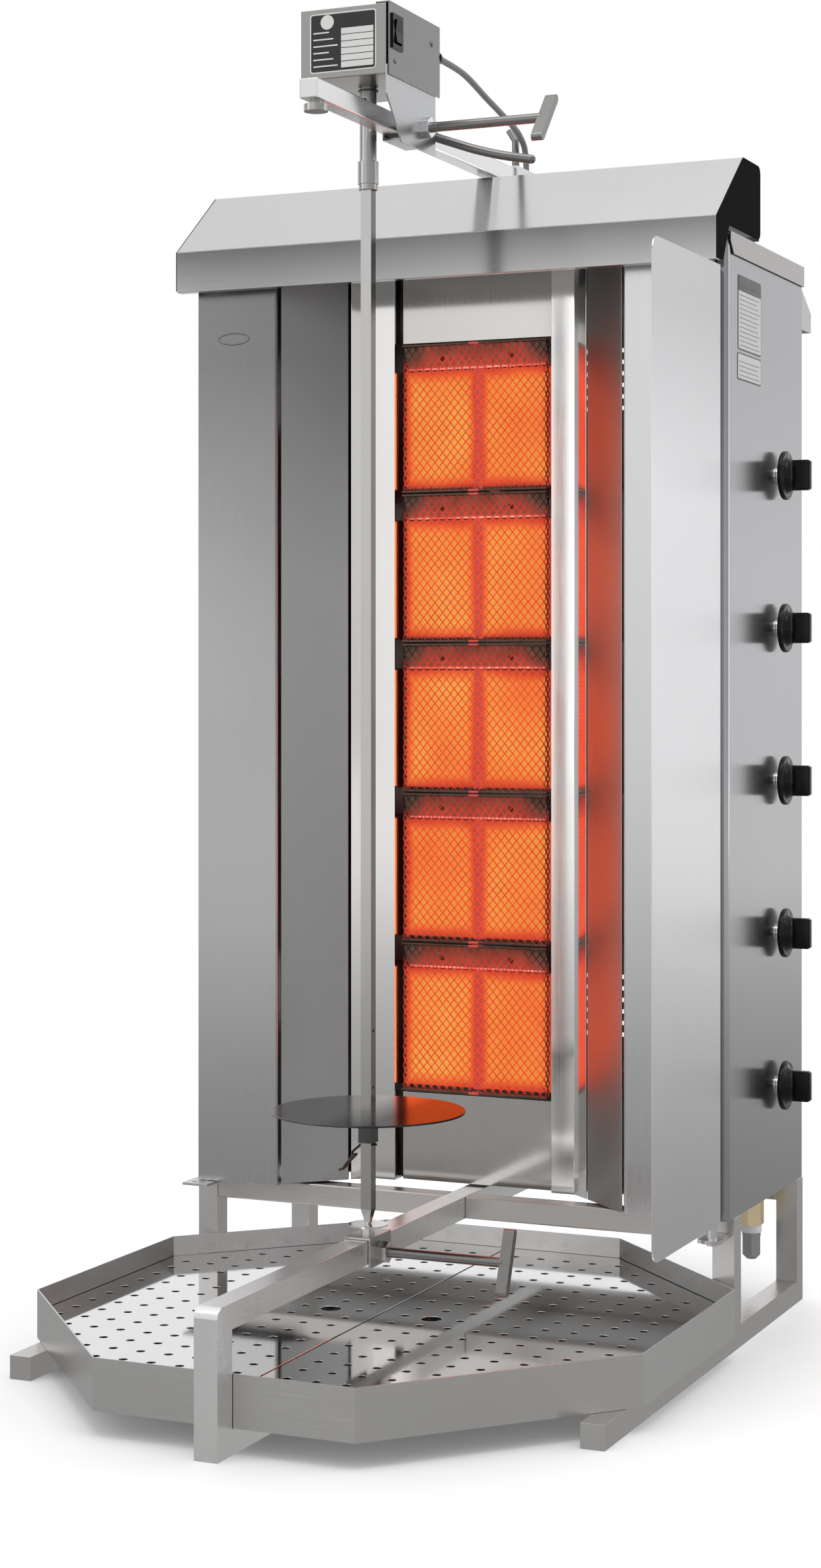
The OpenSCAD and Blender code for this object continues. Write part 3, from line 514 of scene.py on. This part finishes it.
# Edges sharper than this many degrees are softened, by SHEET_EDGE or a part's own width in millimetres
SHARP_ANGLE = 38
SHEET_EDGE = 0.35
THICK_EDGES = {"side_frames": 1.6, "cross_rails": 1.6, "lower_arm": 1.6, "upper_arm": 1.4, "mast": 1.0,
               "lower_clamp": 2.2, "upper_clamp": 2.2, "motor_casing": 1.0, "rocker": 0.6, "spit": 0.5,
               "coupling_sleeve": 0.6, "switch_housing": 0.6, "inlet_plug": 0.8, "inlet_fitting": 0.8}


def soften(obj, width):
    """Small rounded edges and clean shading, as modifiers, so that edges catch the light."""
    weld = obj.modifiers.new("weld", "WELD")
    weld.merge_threshold = 0.01 * MM
    bevel = obj.modifiers.new("edge", "BEVEL")
    bevel.width = width
    bevel.segments = 2
    bevel.limit_method = "ANGLE"
    bevel.angle_limit = math.radians(SHARP_ANGLE)
    bevel.harden_normals = False
    obj.modifiers.new("shading", "WEIGHTED_NORMAL").keep_sharp = True


for look, names in NODE_LOOKS.items():
    for name in names.split():
        mesh = nodes[name].data
        mesh.materials.clear()
        mesh.materials.append(MATERIALS[look])
        soften(nodes[name], THICK_EDGES.get(name, SHEET_EDGE) * MM)


# ---- mesh building ----

def piece(name, mesh, look, body, smooth=True):
    """A finished mesh as a piece of the object that rides on a body."""
    obj = bpy.data.objects.new(name, mesh)
    bpy.context.scene.collection.objects.link(obj)
    mesh.materials.append(MATERIALS[look])
    for polygon in mesh.polygons:
        polygon.use_smooth = smooth
    if body:
        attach(obj, body)
    return obj


def solid(verts, faces, name):
    """A mesh from points and faces, with its faces turned outwards."""
    mesh = bpy.data.meshes.new(name)
    mesh.from_pydata([tuple(v) for v in verts], [], faces)
    bm = bmesh.new()
    bm.from_mesh(mesh)
    bmesh.ops.recalc_face_normals(bm, faces=bm.faces)
    bm.to_mesh(mesh)
    bm.free()
    mesh.update()
    return mesh


def join_meshes(name, meshes):
    bm = bmesh.new()
    for mesh in meshes:
        bm.from_mesh(mesh)
        bpy.data.meshes.remove(mesh)
    joined = bpy.data.meshes.new(name)
    bm.to_mesh(joined)
    bm.free()
    return joined


def block(low, high, round_by=0.0, segments=3):
    """A box between two corners, with rounded edges."""
    bm = bmesh.new()
    bmesh.ops.create_cube(bm, size=1.0)
    size = Vector(high) - Vector(low)
    middle = (Vector(high) + Vector(low)) / 2
    for v in bm.verts:
        v.co = Vector(v.co[i] * size[i] for i in range(3)) + middle
    if round_by:
        bmesh.ops.bevel(bm, geom=bm.edges[:], offset=round_by, segments=segments, profile=0.5,
                        affect="EDGES")
    mesh = bpy.data.meshes.new("block")
    bm.to_mesh(mesh)
    bm.free()
    return mesh


def circle(steps):
    """Cosine and sine of angles spaced evenly round a full turn."""
    angles = [2 * math.pi * k / steps for k in range(steps)]
    return [(math.cos(angle), math.sin(angle)) for angle in angles]


def skin(rings, steps):
    """Faces that join rings of points one after another, and close the first and the last."""
    faces = []
    for first in range(0, (rings - 1) * steps, steps):
        for k in range(steps):
            after = (k + 1) % steps
            faces.append((first + k, first + after, first + steps + after, first + steps + k))
    faces.append(tuple(range(steps))[::-1])
    faces.append(tuple((rings - 1) * steps + k for k in range(steps)))
    return faces


def turn(profile, origin, direction, steps=48):
    """A turned solid: profile is (distance along direction, radius) from one end to the other."""
    aim = Vector(direction).to_track_quat("Z", "Y").to_matrix()
    verts = []
    for along, radius in profile:
        for c, s in circle(steps):
            verts.append(Vector(origin) + aim @ Vector((radius * c, radius * s, along)))
    return solid(verts, skin(len(profile), steps), "turned")


def smooth_path(points, per_span=10):
    """Catmull-Rom curve through the points."""
    pts = [Vector(p) for p in points]
    pts = [2 * pts[0] - pts[1]] + pts + [2 * pts[-1] - pts[-2]]
    path = []
    for i in range(1, len(pts) - 2):
        a, b, c, d = pts[i - 1:i + 3]
        for k in range(per_span):
            t = k / per_span
            path.append(0.5 * (2 * b + (c - a) * t + (2 * a - 5 * b + 4 * c - d) * t ** 2
                               + (3 * b - a - 3 * c + d) * t ** 3))
    path.append(pts[-2])
    return path


def dome(path, end, before, radius):
    """Rings that close one end of a rod like half a ball, from the rod outwards."""
    out = (path[end] - path[before]).normalized()
    return [(path[end] + out * radius * math.sin(a), radius * math.cos(a))
            for a in (math.radians(25), math.radians(50), math.radians(75))]


def tube(path, radius, steps=20, domed=True):
    """A round rod along a path."""
    rings = [(p, radius) for p in path]
    if domed:
        rings = dome(path, 0, 1, radius)[::-1] + rings + dome(path, -1, -2, radius)
    side = None
    verts = []
    for i, (centre, r) in enumerate(rings):
        ahead = (rings[min(i + 1, len(rings) - 1)][0] - rings[max(i - 1, 0)][0]).normalized()
        if side is None:
            side = ahead.orthogonal().normalized()
        side = (side - ahead * side.dot(ahead)).normalized()
        other = ahead.cross(side)
        verts += [centre + (side * c + other * s) * r for c, s in circle(steps)]
    return solid(verts, skin(len(rings), steps), "tube")


# Screw head as parts of its radius: (distance from the surface, radius)
SCREW_PROFILE = ((-0.3, 0.95), (0.0, 1.0), (0.25, 0.93), (0.42, 0.7), (0.5, 0.4), (0.3, 0.24))


def screw(centre, outward, radius):
    """A pan-head screw with a round recess, standing proud of a surface."""
    return turn([(along * radius, r * radius) for along, r in SCREW_PROFILE], centre, outward, 24)


def rounded_plate(low, high, corner, thin):
    """A flat plate with rounded corners. thin is the axis it faces along, 0 or 1."""
    wide = 1 - thin
    outline = []
    for w, z, start in ((high[wide] - corner, low[2] + corner, -90),
                        (high[wide] - corner, high[2] - corner, 0),
                        (low[wide] + corner, high[2] - corner, 90),
                        (low[wide] + corner, low[2] + corner, 180)):
        for k in range(7):
            angle = math.radians(start + 15 * k)
            outline.append((w + corner * math.cos(angle), z + corner * math.sin(angle)))
    verts = []
    for depth in (low[thin], high[thin]):
        for w, z in outline:
            verts.append((w, depth, z) if thin == 1 else (depth, w, z))
    n = len(outline)
    faces = [tuple(range(n)), tuple(range(2 * n - 1, n - 1, -1))]
    faces += [(k, (k + 1) % n, n + (k + 1) % n, n + k) for k in range(n)]
    return solid(verts, faces, "rounded_plate")


# ---- burner guards ----

CELL_W = 9.7 * MM
CELL_H = 5.7 * MM
STRAND_H = 1.7 * MM
STRAND_DEPTH = 1.2 * MM
GUARD_FOLD = 13 * MM
GUARD_LIFT = 0.8 * MM
RIM_DEPTH = 2.2 * MM
RIM_HALF = 1.3 * MM
RIM_SHEET_HALF = 0.5 * MM


def guard_mesh(top, low, high):
    """Expanded metal in zigzag strands, folded back along both sides."""
    half = high[0] - 0.5 * MM
    front = low[1] + 0.4 * MM
    height = PITCH - 3 * MM
    rows = round(height / CELL_H)
    row_h = height / rows

    def point(s, z, back):
        over = abs(s) - half
        if over <= 0:
            return Vector((s, front + back, z))
        return Vector((math.copysign(half - back, s), front + over, z))

    verts = []
    faces = []
    steps = 2 * round((half + GUARD_FOLD) / (CELL_W / 2))
    reach = steps // 2 * CELL_W / 2
    section = ((STRAND_H / 2, 0), (-STRAND_H / 2, 0), (-STRAND_H / 2, STRAND_DEPTH),
               (STRAND_H / 2, STRAND_DEPTH))
    for row in range(rows):
        z = top - 1.5 * MM - (row + 0.5) * row_h
        start = len(verts)
        for i in range(steps + 1):
            s = -reach + i * CELL_W / 2
            swing = row_h / 2 * (1 if (i + row) % 2 else -1)
            for dz, back in section:
                verts.append(point(s, z + swing + dz, back))
        for i in range(steps):
            a = start + 4 * i
            faces += [(a + k, a + (k + 1) % 4, a + 4 + (k + 1) % 4, a + 4 + k) for k in range(4)]
        faces.append(tuple(start + k for k in (3, 2, 1, 0)))
        faces.append(tuple(start + 4 * steps + k for k in range(4)))
    return solid(verts, faces, "guard")


guard_low, guard_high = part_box("mesh_guards")
left = guard_low[0]
right = guard_high[0]
front = guard_low[1] - 0.3 * MM
back = guard_high[1]
rims = []
for i in range(BURNERS):
    top = guard_high[2] + GUARD_LIFT - i * PITCH
    guard = piece(f"burner_mesh_{i + 1}", guard_mesh(top, guard_low, guard_high), "mesh",
                  "chassis", False)
    if i == 0:
        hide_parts("mesh_guards")
    # Folded rim along the top and bottom of each guard
    for z in (top - 1.6 * MM, top - PITCH + 2.6 * MM):
        rims.append(block((left, front, z - RIM_HALF), (right, front + RIM_DEPTH, z + RIM_HALF),
                          0.5 * MM, 2))
        rims.append(block((left, front + 1 * MM, z - RIM_SHEET_HALF), (right, back, z + RIM_SHEET_HALF),
                          0.2 * MM, 1))
piece("burner_mesh_rims", join_meshes("rims", rims), "burner_case", "chassis")

strip_low, strip_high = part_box("deflector_strips")
strip_screws = []
for i in range(BURNERS):
    for x in (-43 * MM, 43 * MM):
        centre = (x, strip_low[1] + 5.5 * MM, strip_high[2] - 14 * MM - i * PITCH)
        strip_screws.append(screw(centre, (0, -0.9, -0.3), 3.2 * MM))
piece("deflector_screws", join_meshes("deflector_screws", strip_screws), "burner_case",
      "chassis")

LIP_HALF = 1.1 * MM
lips = []
for i in range(BURNERS):
    z = strip_high[2] - 25.2 * MM - i * PITCH
    lips.append(block((strip_low[0] + 3 * MM, strip_high[1] - 2.6 * MM, z - LIP_HALF),
                      (strip_high[0] - 3 * MM, strip_high[1] - 0.4 * MM, z + LIP_HALF), 0.8 * MM, 3))
# The lips carry a painted pink reflection of the glowing mesh, as glow
piece("deflector_lips", join_meshes("lips", lips), "lip_painted_reflection", "chassis")


# ---- knobs ----

# Skirt of a knob in millimetres: (distance from the panel, distance inside the rim)
SKIRT = ((0.0, 1.6), (0.4, 0.4), (1.2, 0.0), (4.2, 0.0), (5.2, 0.5), (5.7, 1.8), (5.4, 4.0), (5.2, 7.4),
         (7.6, 8.4), (10.6, 9.6), (13.6, 12.5), (15.0, 17.0))
GRIP_HALF_W = 5.4 * MM
GRIP_HALF_H = 17.4 * MM
FACE_HALF_W = 4.4 * MM
FACE_HALF_H = 16.0 * MM
MARK_HALF_W = 0.7 * MM


def build_knob(index):
    """Round skirt with a straight grip, a pad on the grip's face and a pointer line."""
    node = f"knob_{index}"
    low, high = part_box(node)
    x = low[0]
    y = (low[1] + high[1]) / 2
    z = (low[2] + high[2]) / 2
    r = (high[2] - low[2]) / 2
    skirt = turn([(along * MM, r - inside * MM) for along, inside in SKIRT], (x, y, z), (1, 0, 0), 64)
    grip = block((x + 5 * MM, y - GRIP_HALF_W, z - GRIP_HALF_H),
                 (high[0] - 1.0 * MM, y + GRIP_HALF_W, z + GRIP_HALF_H), 2.0 * MM, 4)
    knob = piece(f"knob_body_{index}", join_meshes("knob", [skirt, grip]), "black", node)
    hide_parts(node)
    face = block((high[0] - 2 * MM, y - FACE_HALF_W, z - FACE_HALF_H),
                 (high[0] + 0.2 * MM, y + FACE_HALF_W, z + FACE_HALF_H), 0.9 * MM, 3)
    piece(f"knob_grip_face_{index}", face, "grip_face", node)
    # The line runs from the grip towards the skirt's rim
    mark = block((x + 4.6 * MM, y - MARK_HALF_W, z + GRIP_HALF_H + 1.5 * MM),
                 (x + 5.9 * MM, y + MARK_HALF_W, z + r - 3 * MM), 0.25 * MM, 2)
    piece(f"knob_mark_{index}", mark, "print_white", node)


for i in range(1, BURNERS + 1):
    build_knob(i)


# ---- lever, clip and threads ----

LEVER_R = 4.8 * MM
# Points (x, z) along the lever after its start, and the height of its end
LEVER_BENDS = ((0.079, 1.3025), (0.100, 1.2955), (0.126, 1.2885))
LEVER_END_Z = 1.282
WIRE_R = 1.35 * MM
THREAD_R = 5.2 * MM
THREAD_PITCH = 1.5 * MM

lever_low, lever_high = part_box("bent_lever")
lever_y = (lever_low[1] + lever_high[1]) / 2
lever_points = [(lever_low[0], lever_y, lever_high[2] - LEVER_R)]
lever_points += [(x, lever_y, z) for x, z in LEVER_BENDS]
lever_points.append((lever_high[0] - 3 * MM, lever_y, LEVER_END_Z))
lever = piece("bent_lever_rod", tube(smooth_path(lever_points), LEVER_R, 24), "lever",
              "carriage")
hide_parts("bent_lever")

# Wire of the spit's clip, in millimetres from the hole in the spit
INNER_LEG = ((9, 0, 0), (0, 0, 0), (-7, -1, -0.4), (-10.5, -2.6, -3.2), (-15.2, -4.6, -7.6),
             (-15.6, -6.2, -10.6), (-12.2, -7.2, -10.8), (-10.0, -7.4, -10.2))
OUTER_LEG = ((-10.0, -7.4, -10.2), (-13.5, -7.0, -13.6), (-18.6, -6.4, -18.6), (-24.5, -5.6, -25.4),
             (-31.0, -4.8, -28.6))
SIDE_LEG = ((-11.6, -8.4, -10.6), (-17.4, -9.0, -16.0), (-22.6, -8.8, -22.2), (-25.2, -8.2, -26.6))
hole_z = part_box("spit_clip")[1][2] - 1.65 * MM
clip_wires = []
for leg in (INNER_LEG, OUTER_LEG, SIDE_LEG):
    points = [(x * MM, y * MM, hole_z + z * MM) for x, y, z in leg]
    clip_wires.append(tube(smooth_path(points, 8), WIRE_R, 14))
clip = piece("spit_clip_wire", join_meshes("clip", clip_wires), "dark_wire", "spindle")
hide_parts("spit_clip")


def thread(screw_node, nut_node, length):
    """Thread of a clamp screw, beside its welded nut."""
    low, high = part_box(screw_node)
    start = (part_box(nut_node)[1][0] + 0.5 * MM, (low[1] + high[1]) / 2, (low[2] + high[2]) / 2)
    root = THREAD_R - 0.3 * MM
    crest = THREAD_R + 0.45 * MM
    profile = []
    for k in range(int(length / THREAD_PITCH)):
        profile += [(k * THREAD_PITCH, root), ((k + 0.5) * THREAD_PITCH, crest)]
    profile.append((profile[-1][0] + THREAD_PITCH / 2, root))
    mesh = turn(profile, start, (1, 0, 0), 32)
    piece(screw_node + "_thread", mesh, "turned", screw_node)


thread("lower_clamp", "saddle", 16 * MM)
thread("upper_clamp", "carriage_bracket", 6 * MM)


# ---- cable ----

CABLE_R = 3.5 * MM
# Where the cable leaves the motor box, and points along it up to the post at the mast
CABLE_X = 0.046
CABLE_Z = 1.400
CABLE_BENDS = ((0.044, 0.160, 1.399), (0.039, 0.235, 1.3885), (0.035, 0.300, 1.3795), (0.030, 0.350, 1.3735),
               (0.0265, 0.376, 1.367))
# From the post down behind the hood
CABLE_DROP = ((0.027, 0.373, 1.3682), (0.0255, 0.386, 1.3615), (0.0247, 0.393, 1.351),
              (0.0245, 0.395, 1.341), (0.0245, 0.395, 1.333))
# The gland at the cable's start goes with the carriage, and the drop from the post stays with the chassis
# Gland in millimetres: (distance from the box, radius)
GLAND = ((0, 6.5), (2, 7), (5, 7), (6, 6), (11, 5.2), (13, 4))

box_low, box_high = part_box("motor_casing")
start = Vector((CABLE_X, box_high[1] + 1.7 * MM, CABLE_Z))
cable_points = [start - Vector((0, 6 * MM, 0)), start + Vector((0, 24 * MM, 1 * MM)), *CABLE_BENDS]
cable = piece("motor_cable", tube(smooth_path(cable_points, 12), CABLE_R), "cable", None)
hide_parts("cable")
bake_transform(cable)
gland = turn([(along * MM, r * MM) for along, r in GLAND], start, (0, 1, 0), 32)
piece("cable_gland", gland, "black", "carriage")
piece("cable_drop", tube(smooth_path(CABLE_DROP, 8), CABLE_R), "cable", "chassis")


# ---- rating plate, labels and screws ----

# Black plate on the front of the motor box: a white border and blank ruled fields
BORDER_W = 1.5 * MM
PLATE_ROWS = 6
FIELD_GAP = 0.4 * MM
RULE_HALF = 0.7 * MM
EMBLEM_R = 7.6 * MM

plate_x0 = box_low[0] + 11 * MM
plate_x1 = box_low[0] + 87 * MM
plate_z0 = box_low[2] + 6 * MM
plate_z1 = box_high[2] - 5 * MM
plate_y = box_low[1]
plate_h = plate_z1 - plate_z0
border = rounded_plate((plate_x0, plate_y - 0.5 * MM, plate_z0), (plate_x1, plate_y + 0.2 * MM, plate_z1),
                       3.5 * MM, 1)
piece("motor_plate_border", border, "print_white", "carriage", False)
field = rounded_plate((plate_x0 + BORDER_W, plate_y - 0.7 * MM, plate_z0 + BORDER_W),
                      (plate_x1 - BORDER_W, plate_y - 0.4 * MM, plate_z1 - BORDER_W), 2.2 * MM, 1)
piece("motor_plate", field, "print_black", "carriage", False)


def printed(x0, x1, z, half):
    """A light bar on the plate, between two places across it."""
    return rounded_plate((plate_x0 + x0, plate_y - 0.9 * MM, z - half),
                         (plate_x0 + x1, plate_y - 0.6 * MM, z + half), 0.2 * MM, 1)


row_pitch = 0.112 * plate_h
marks = []
for row in range(PLATE_ROWS):
    z = plate_z1 - 0.27 * plate_h - (row + 0.5) * row_pitch
    marks.append(printed(36 * MM, 72.8 * MM, z, row_pitch / 2 - FIELD_GAP))
    marks.append(printed(4 * MM, (22 + row % 3 * 5) * MM, z, RULE_HALF))
emblem = (plate_x0 + 20 * MM, plate_y - 0.6 * MM, plate_z1 - 0.155 * plate_h)
marks.append(turn([(0, EMBLEM_R), (0.3 * MM, EMBLEM_R)], emblem, (0, -1, 0), 40))
piece("motor_plate_print", join_meshes("print", marks), "print_white", "carriage", False)

# Foil labels near the front of the control cover: dark rim, plain foil and rules of uneven length, each
# layer a little further out than the one below
RIM_W = 1.6 * MM
RULE_PITCH = 5 * MM
# Name, front and back edge, lower and upper edge
LABELS = (("rating_label", 0.252, 0.340, 1.093, 1.175), ("notice_label", 0.250, 0.340, 1.060, 1.090))
cover_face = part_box("control_cover")[1][0]
for name, y0, y1, z0, z1 in LABELS:
    foil = rounded_plate((cover_face + 0.2 * MM, y0 + RIM_W, z0 + RIM_W),
                         (cover_face + 0.5 * MM, y1 - RIM_W, z1 - RIM_W), 2 * MM, 0)
    piece(name, foil, "label", "chassis", False)
    inks = [rounded_plate((cover_face - 0.2 * MM, y0, z0), (cover_face + 0.3 * MM, y1, z1), 3.4 * MM, 0)]
    for k in range(int((z1 - z0) / RULE_PITCH) - 2):
        z = z0 + (k + 1) * RULE_PITCH
        cut = 6 * MM + k * 5 % 13 * MM
        inks.append(block((cover_face + 0.4 * MM, y0 + 6 * MM, z),
                          (cover_face + 0.6 * MM, y1 - cut, z + 0.7 * MM)))
    if name == "rating_label":
        inks.append(rounded_plate((cover_face + 0.4 * MM, y0 + RIM_W, z1 - 17 * MM),
                                  (cover_face + 0.6 * MM, y1 - RIM_W, z1 - RIM_W), 1.5 * MM, 0))
    piece(name + "_rules", join_meshes("rules", inks), "ink", "chassis", False)

cover_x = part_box("motor_cover")[1][0]
screws = [screw((cover_x, 0.051, 1.410), (1, 0, 0), 3.6 * MM),
          screw((cover_x, -0.045, 1.372), (1, 0, 0), 3.0 * MM)]
piece("cover_screws", join_meshes("cover_screws", screws), "turned", "carriage")

# Blank stamped oval near the top of the left front panel
OVAL_X = -0.268
OVAL_Z = 1.128
OVAL_HALF_W = 20 * MM
OVAL_HALF_H = 6.5 * MM
oval_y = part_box("front_panels")[0][1] + 0.1 * MM
ring = [Vector((OVAL_X + OVAL_HALF_W * c, oval_y, OVAL_Z + OVAL_HALF_H * s)) for c, s in circle(48)]
piece("stamped_oval", tube(ring + [ring[0]], 0.7 * MM, 10, domed=False), "sheet_z", "chassis")


# ---- floor, light and camera ----

FLOOR_HALF = 14.0


def build_floor():
    """A pale floor that catches soft shadows, darkened near the object by painted shadow, and fades into
    white with distance.
    """
    corners = [(-FLOOR_HALF, -FLOOR_HALF, 0), (FLOOR_HALF, -FLOOR_HALF, 0), (FLOOR_HALF, FLOOR_HALF, 0),
               (-FLOOR_HALF, FLOOR_HALF, 0)]
    mesh = solid(corners, [(0, 1, 2, 3)], "floor")
    floor = bpy.data.objects.new("floor", mesh)
    bpy.context.scene.collection.objects.link(floor)
    s = Shader("pale_floor")
    length = s.add("ShaderNodeVectorMath", operation="LENGTH")
    s.put(length.inputs[0], s.place)
    distance = length.outputs["Value"]
    # Painted shadow: the floor's own glow is held back within 0.25 m of the middle and reaches 0.36 at 0.85
    # m
    s.set(Base_Color=s.mix(s.noise((3, 3, 3)), grey(0.86), grey(0.88)), Roughness=0.7,
          Emission_Color=(*WHITE, 1.0), Emission_Strength=s.span(distance, 0.25, 0.85, 0.0, 0.36))
    glow = s.add("ShaderNodeEmission")
    direct = s.add("ShaderNodeMixShader")
    s.put(direct.inputs[0], s.span(distance, 0.65, 1.4))
    s.put(direct.inputs[1], s.surface.outputs[0])
    s.put(direct.inputs[2], glow.outputs[0])
    # Reflections meet a floor that is grey near the object and light far away: painted shade near the object
    mirrored = s.add("ShaderNodeEmission")
    s.put(mirrored.inputs["Strength"], s.span(distance, 1.2, 7.0, 0.38, 0.95))
    mixer = s.add("ShaderNodeMixShader")
    s.put(mixer.inputs[0], s.seen())
    s.put(mixer.inputs[1], mirrored.outputs[0])
    s.put(mixer.inputs[2], direct.outputs[0])
    s.put(s.tree.nodes["Material Output"].inputs["Surface"], mixer.outputs[0])
    mesh.materials.append(s.material)


# Brightness of the studio from straight down (0) to straight up (1)
UPWARD = ((0.0, 0.30), (0.49, 0.95), (0.60, 1.0), (0.70, 0.80), (1.0, 1.0))
# Brightness by compass direction, in degrees from +X towards +Y: brighter to the front than to the right
ROUND = ((-180, 0.55), (-125, 0.70), (-117, 0.80), (-113.5, 1.05), (-108, 1.33), (-95, 1.3), (-70, 0.8),
         (-45, 0.70), (0, 0.62), (40, 0.8), (60, 1.0), (120, 1.0))


def build_world():
    """White to the camera, and a soft studio of light and darker stretches to reflections."""
    world = bpy.data.worlds.new("studio")
    bpy.context.scene.world = world
    world.use_nodes = True
    w = Nodes(world.node_tree, "Generated")
    height = w.axis(2)
    up = w.ramp(w.span(height, -1, 1), *[(place, (level, level, level * 1.01)) for place, level in UPWARD])
    heading = w.math("ARCTAN2", w.axis(1), w.axis(0))
    around = w.ramp(w.span(heading, -math.pi, math.pi),
                    *[((angle + 180) / 360, grey(level)) for angle, level in ROUND])
    # Overhead the compass direction no longer matters
    level_part = w.span(height, 0.9, 0.35)
    studio = w.mix(level_part, up, around, blend_type="MULTIPLY")
    background = w.tree.nodes["Background"]
    w.put(background.inputs["Color"], w.mix(w.seen(), studio, WHITE))
    background.inputs["Strength"].default_value = 1.0


def softbox(name, place, aim, width, height, power):
    light = bpy.data.lights.new(name, "AREA")
    light.shape = "RECTANGLE"
    light.size = width
    light.size_y = height
    light.energy = power
    obj = bpy.data.objects.new(name, light)
    bpy.context.scene.collection.objects.link(obj)
    obj.location = place
    obj.rotation_euler = (Vector(aim) - Vector(place)).to_track_quat("-Z", "Y").to_euler()


CAMERA_PLACE = (1.205141, -2.61579, 0.738892)
CAMERA_HEADING = 23.801
FRAME_HEIGHT = 36
LENS = 62.495
SIGHT_RANGE = 60
SHIFT_X = -0.001372
SHIFT_Y = -0.071011


def build_camera():
    """A level camera at the front right, shifted like the photograph's."""
    data = bpy.data.cameras.new("camera")
    camera = bpy.data.objects.new("camera", data)
    bpy.context.scene.collection.objects.link(camera)
    camera.location = CAMERA_PLACE
    camera.rotation_euler = (math.radians(90), 0, math.radians(CAMERA_HEADING))
    data.sensor_fit = "VERTICAL"
    data.sensor_height = FRAME_HEIGHT
    data.lens = LENS
    data.shift_x = SHIFT_X
    data.shift_y = SHIFT_Y
    data.clip_end = SIGHT_RANGE
    bpy.context.scene.camera = camera


build_floor()
build_world()
softbox("left_box", (-2.2, -2.0, 1.7), (0, 0.1, 0.7), 1.0, 2.2, 12)
softbox("top_box", (0.3, -0.5, 3.0), (0, 0.1, 0.5), 2.4, 1.6, 22)
softbox("right_box", (2.6, 1.6, 1.4), (0.2, 0.3, 0.7), 1.2, 2.2, 10)
build_camera()
bpy.context.scene.view_settings.view_transform = "Standard"
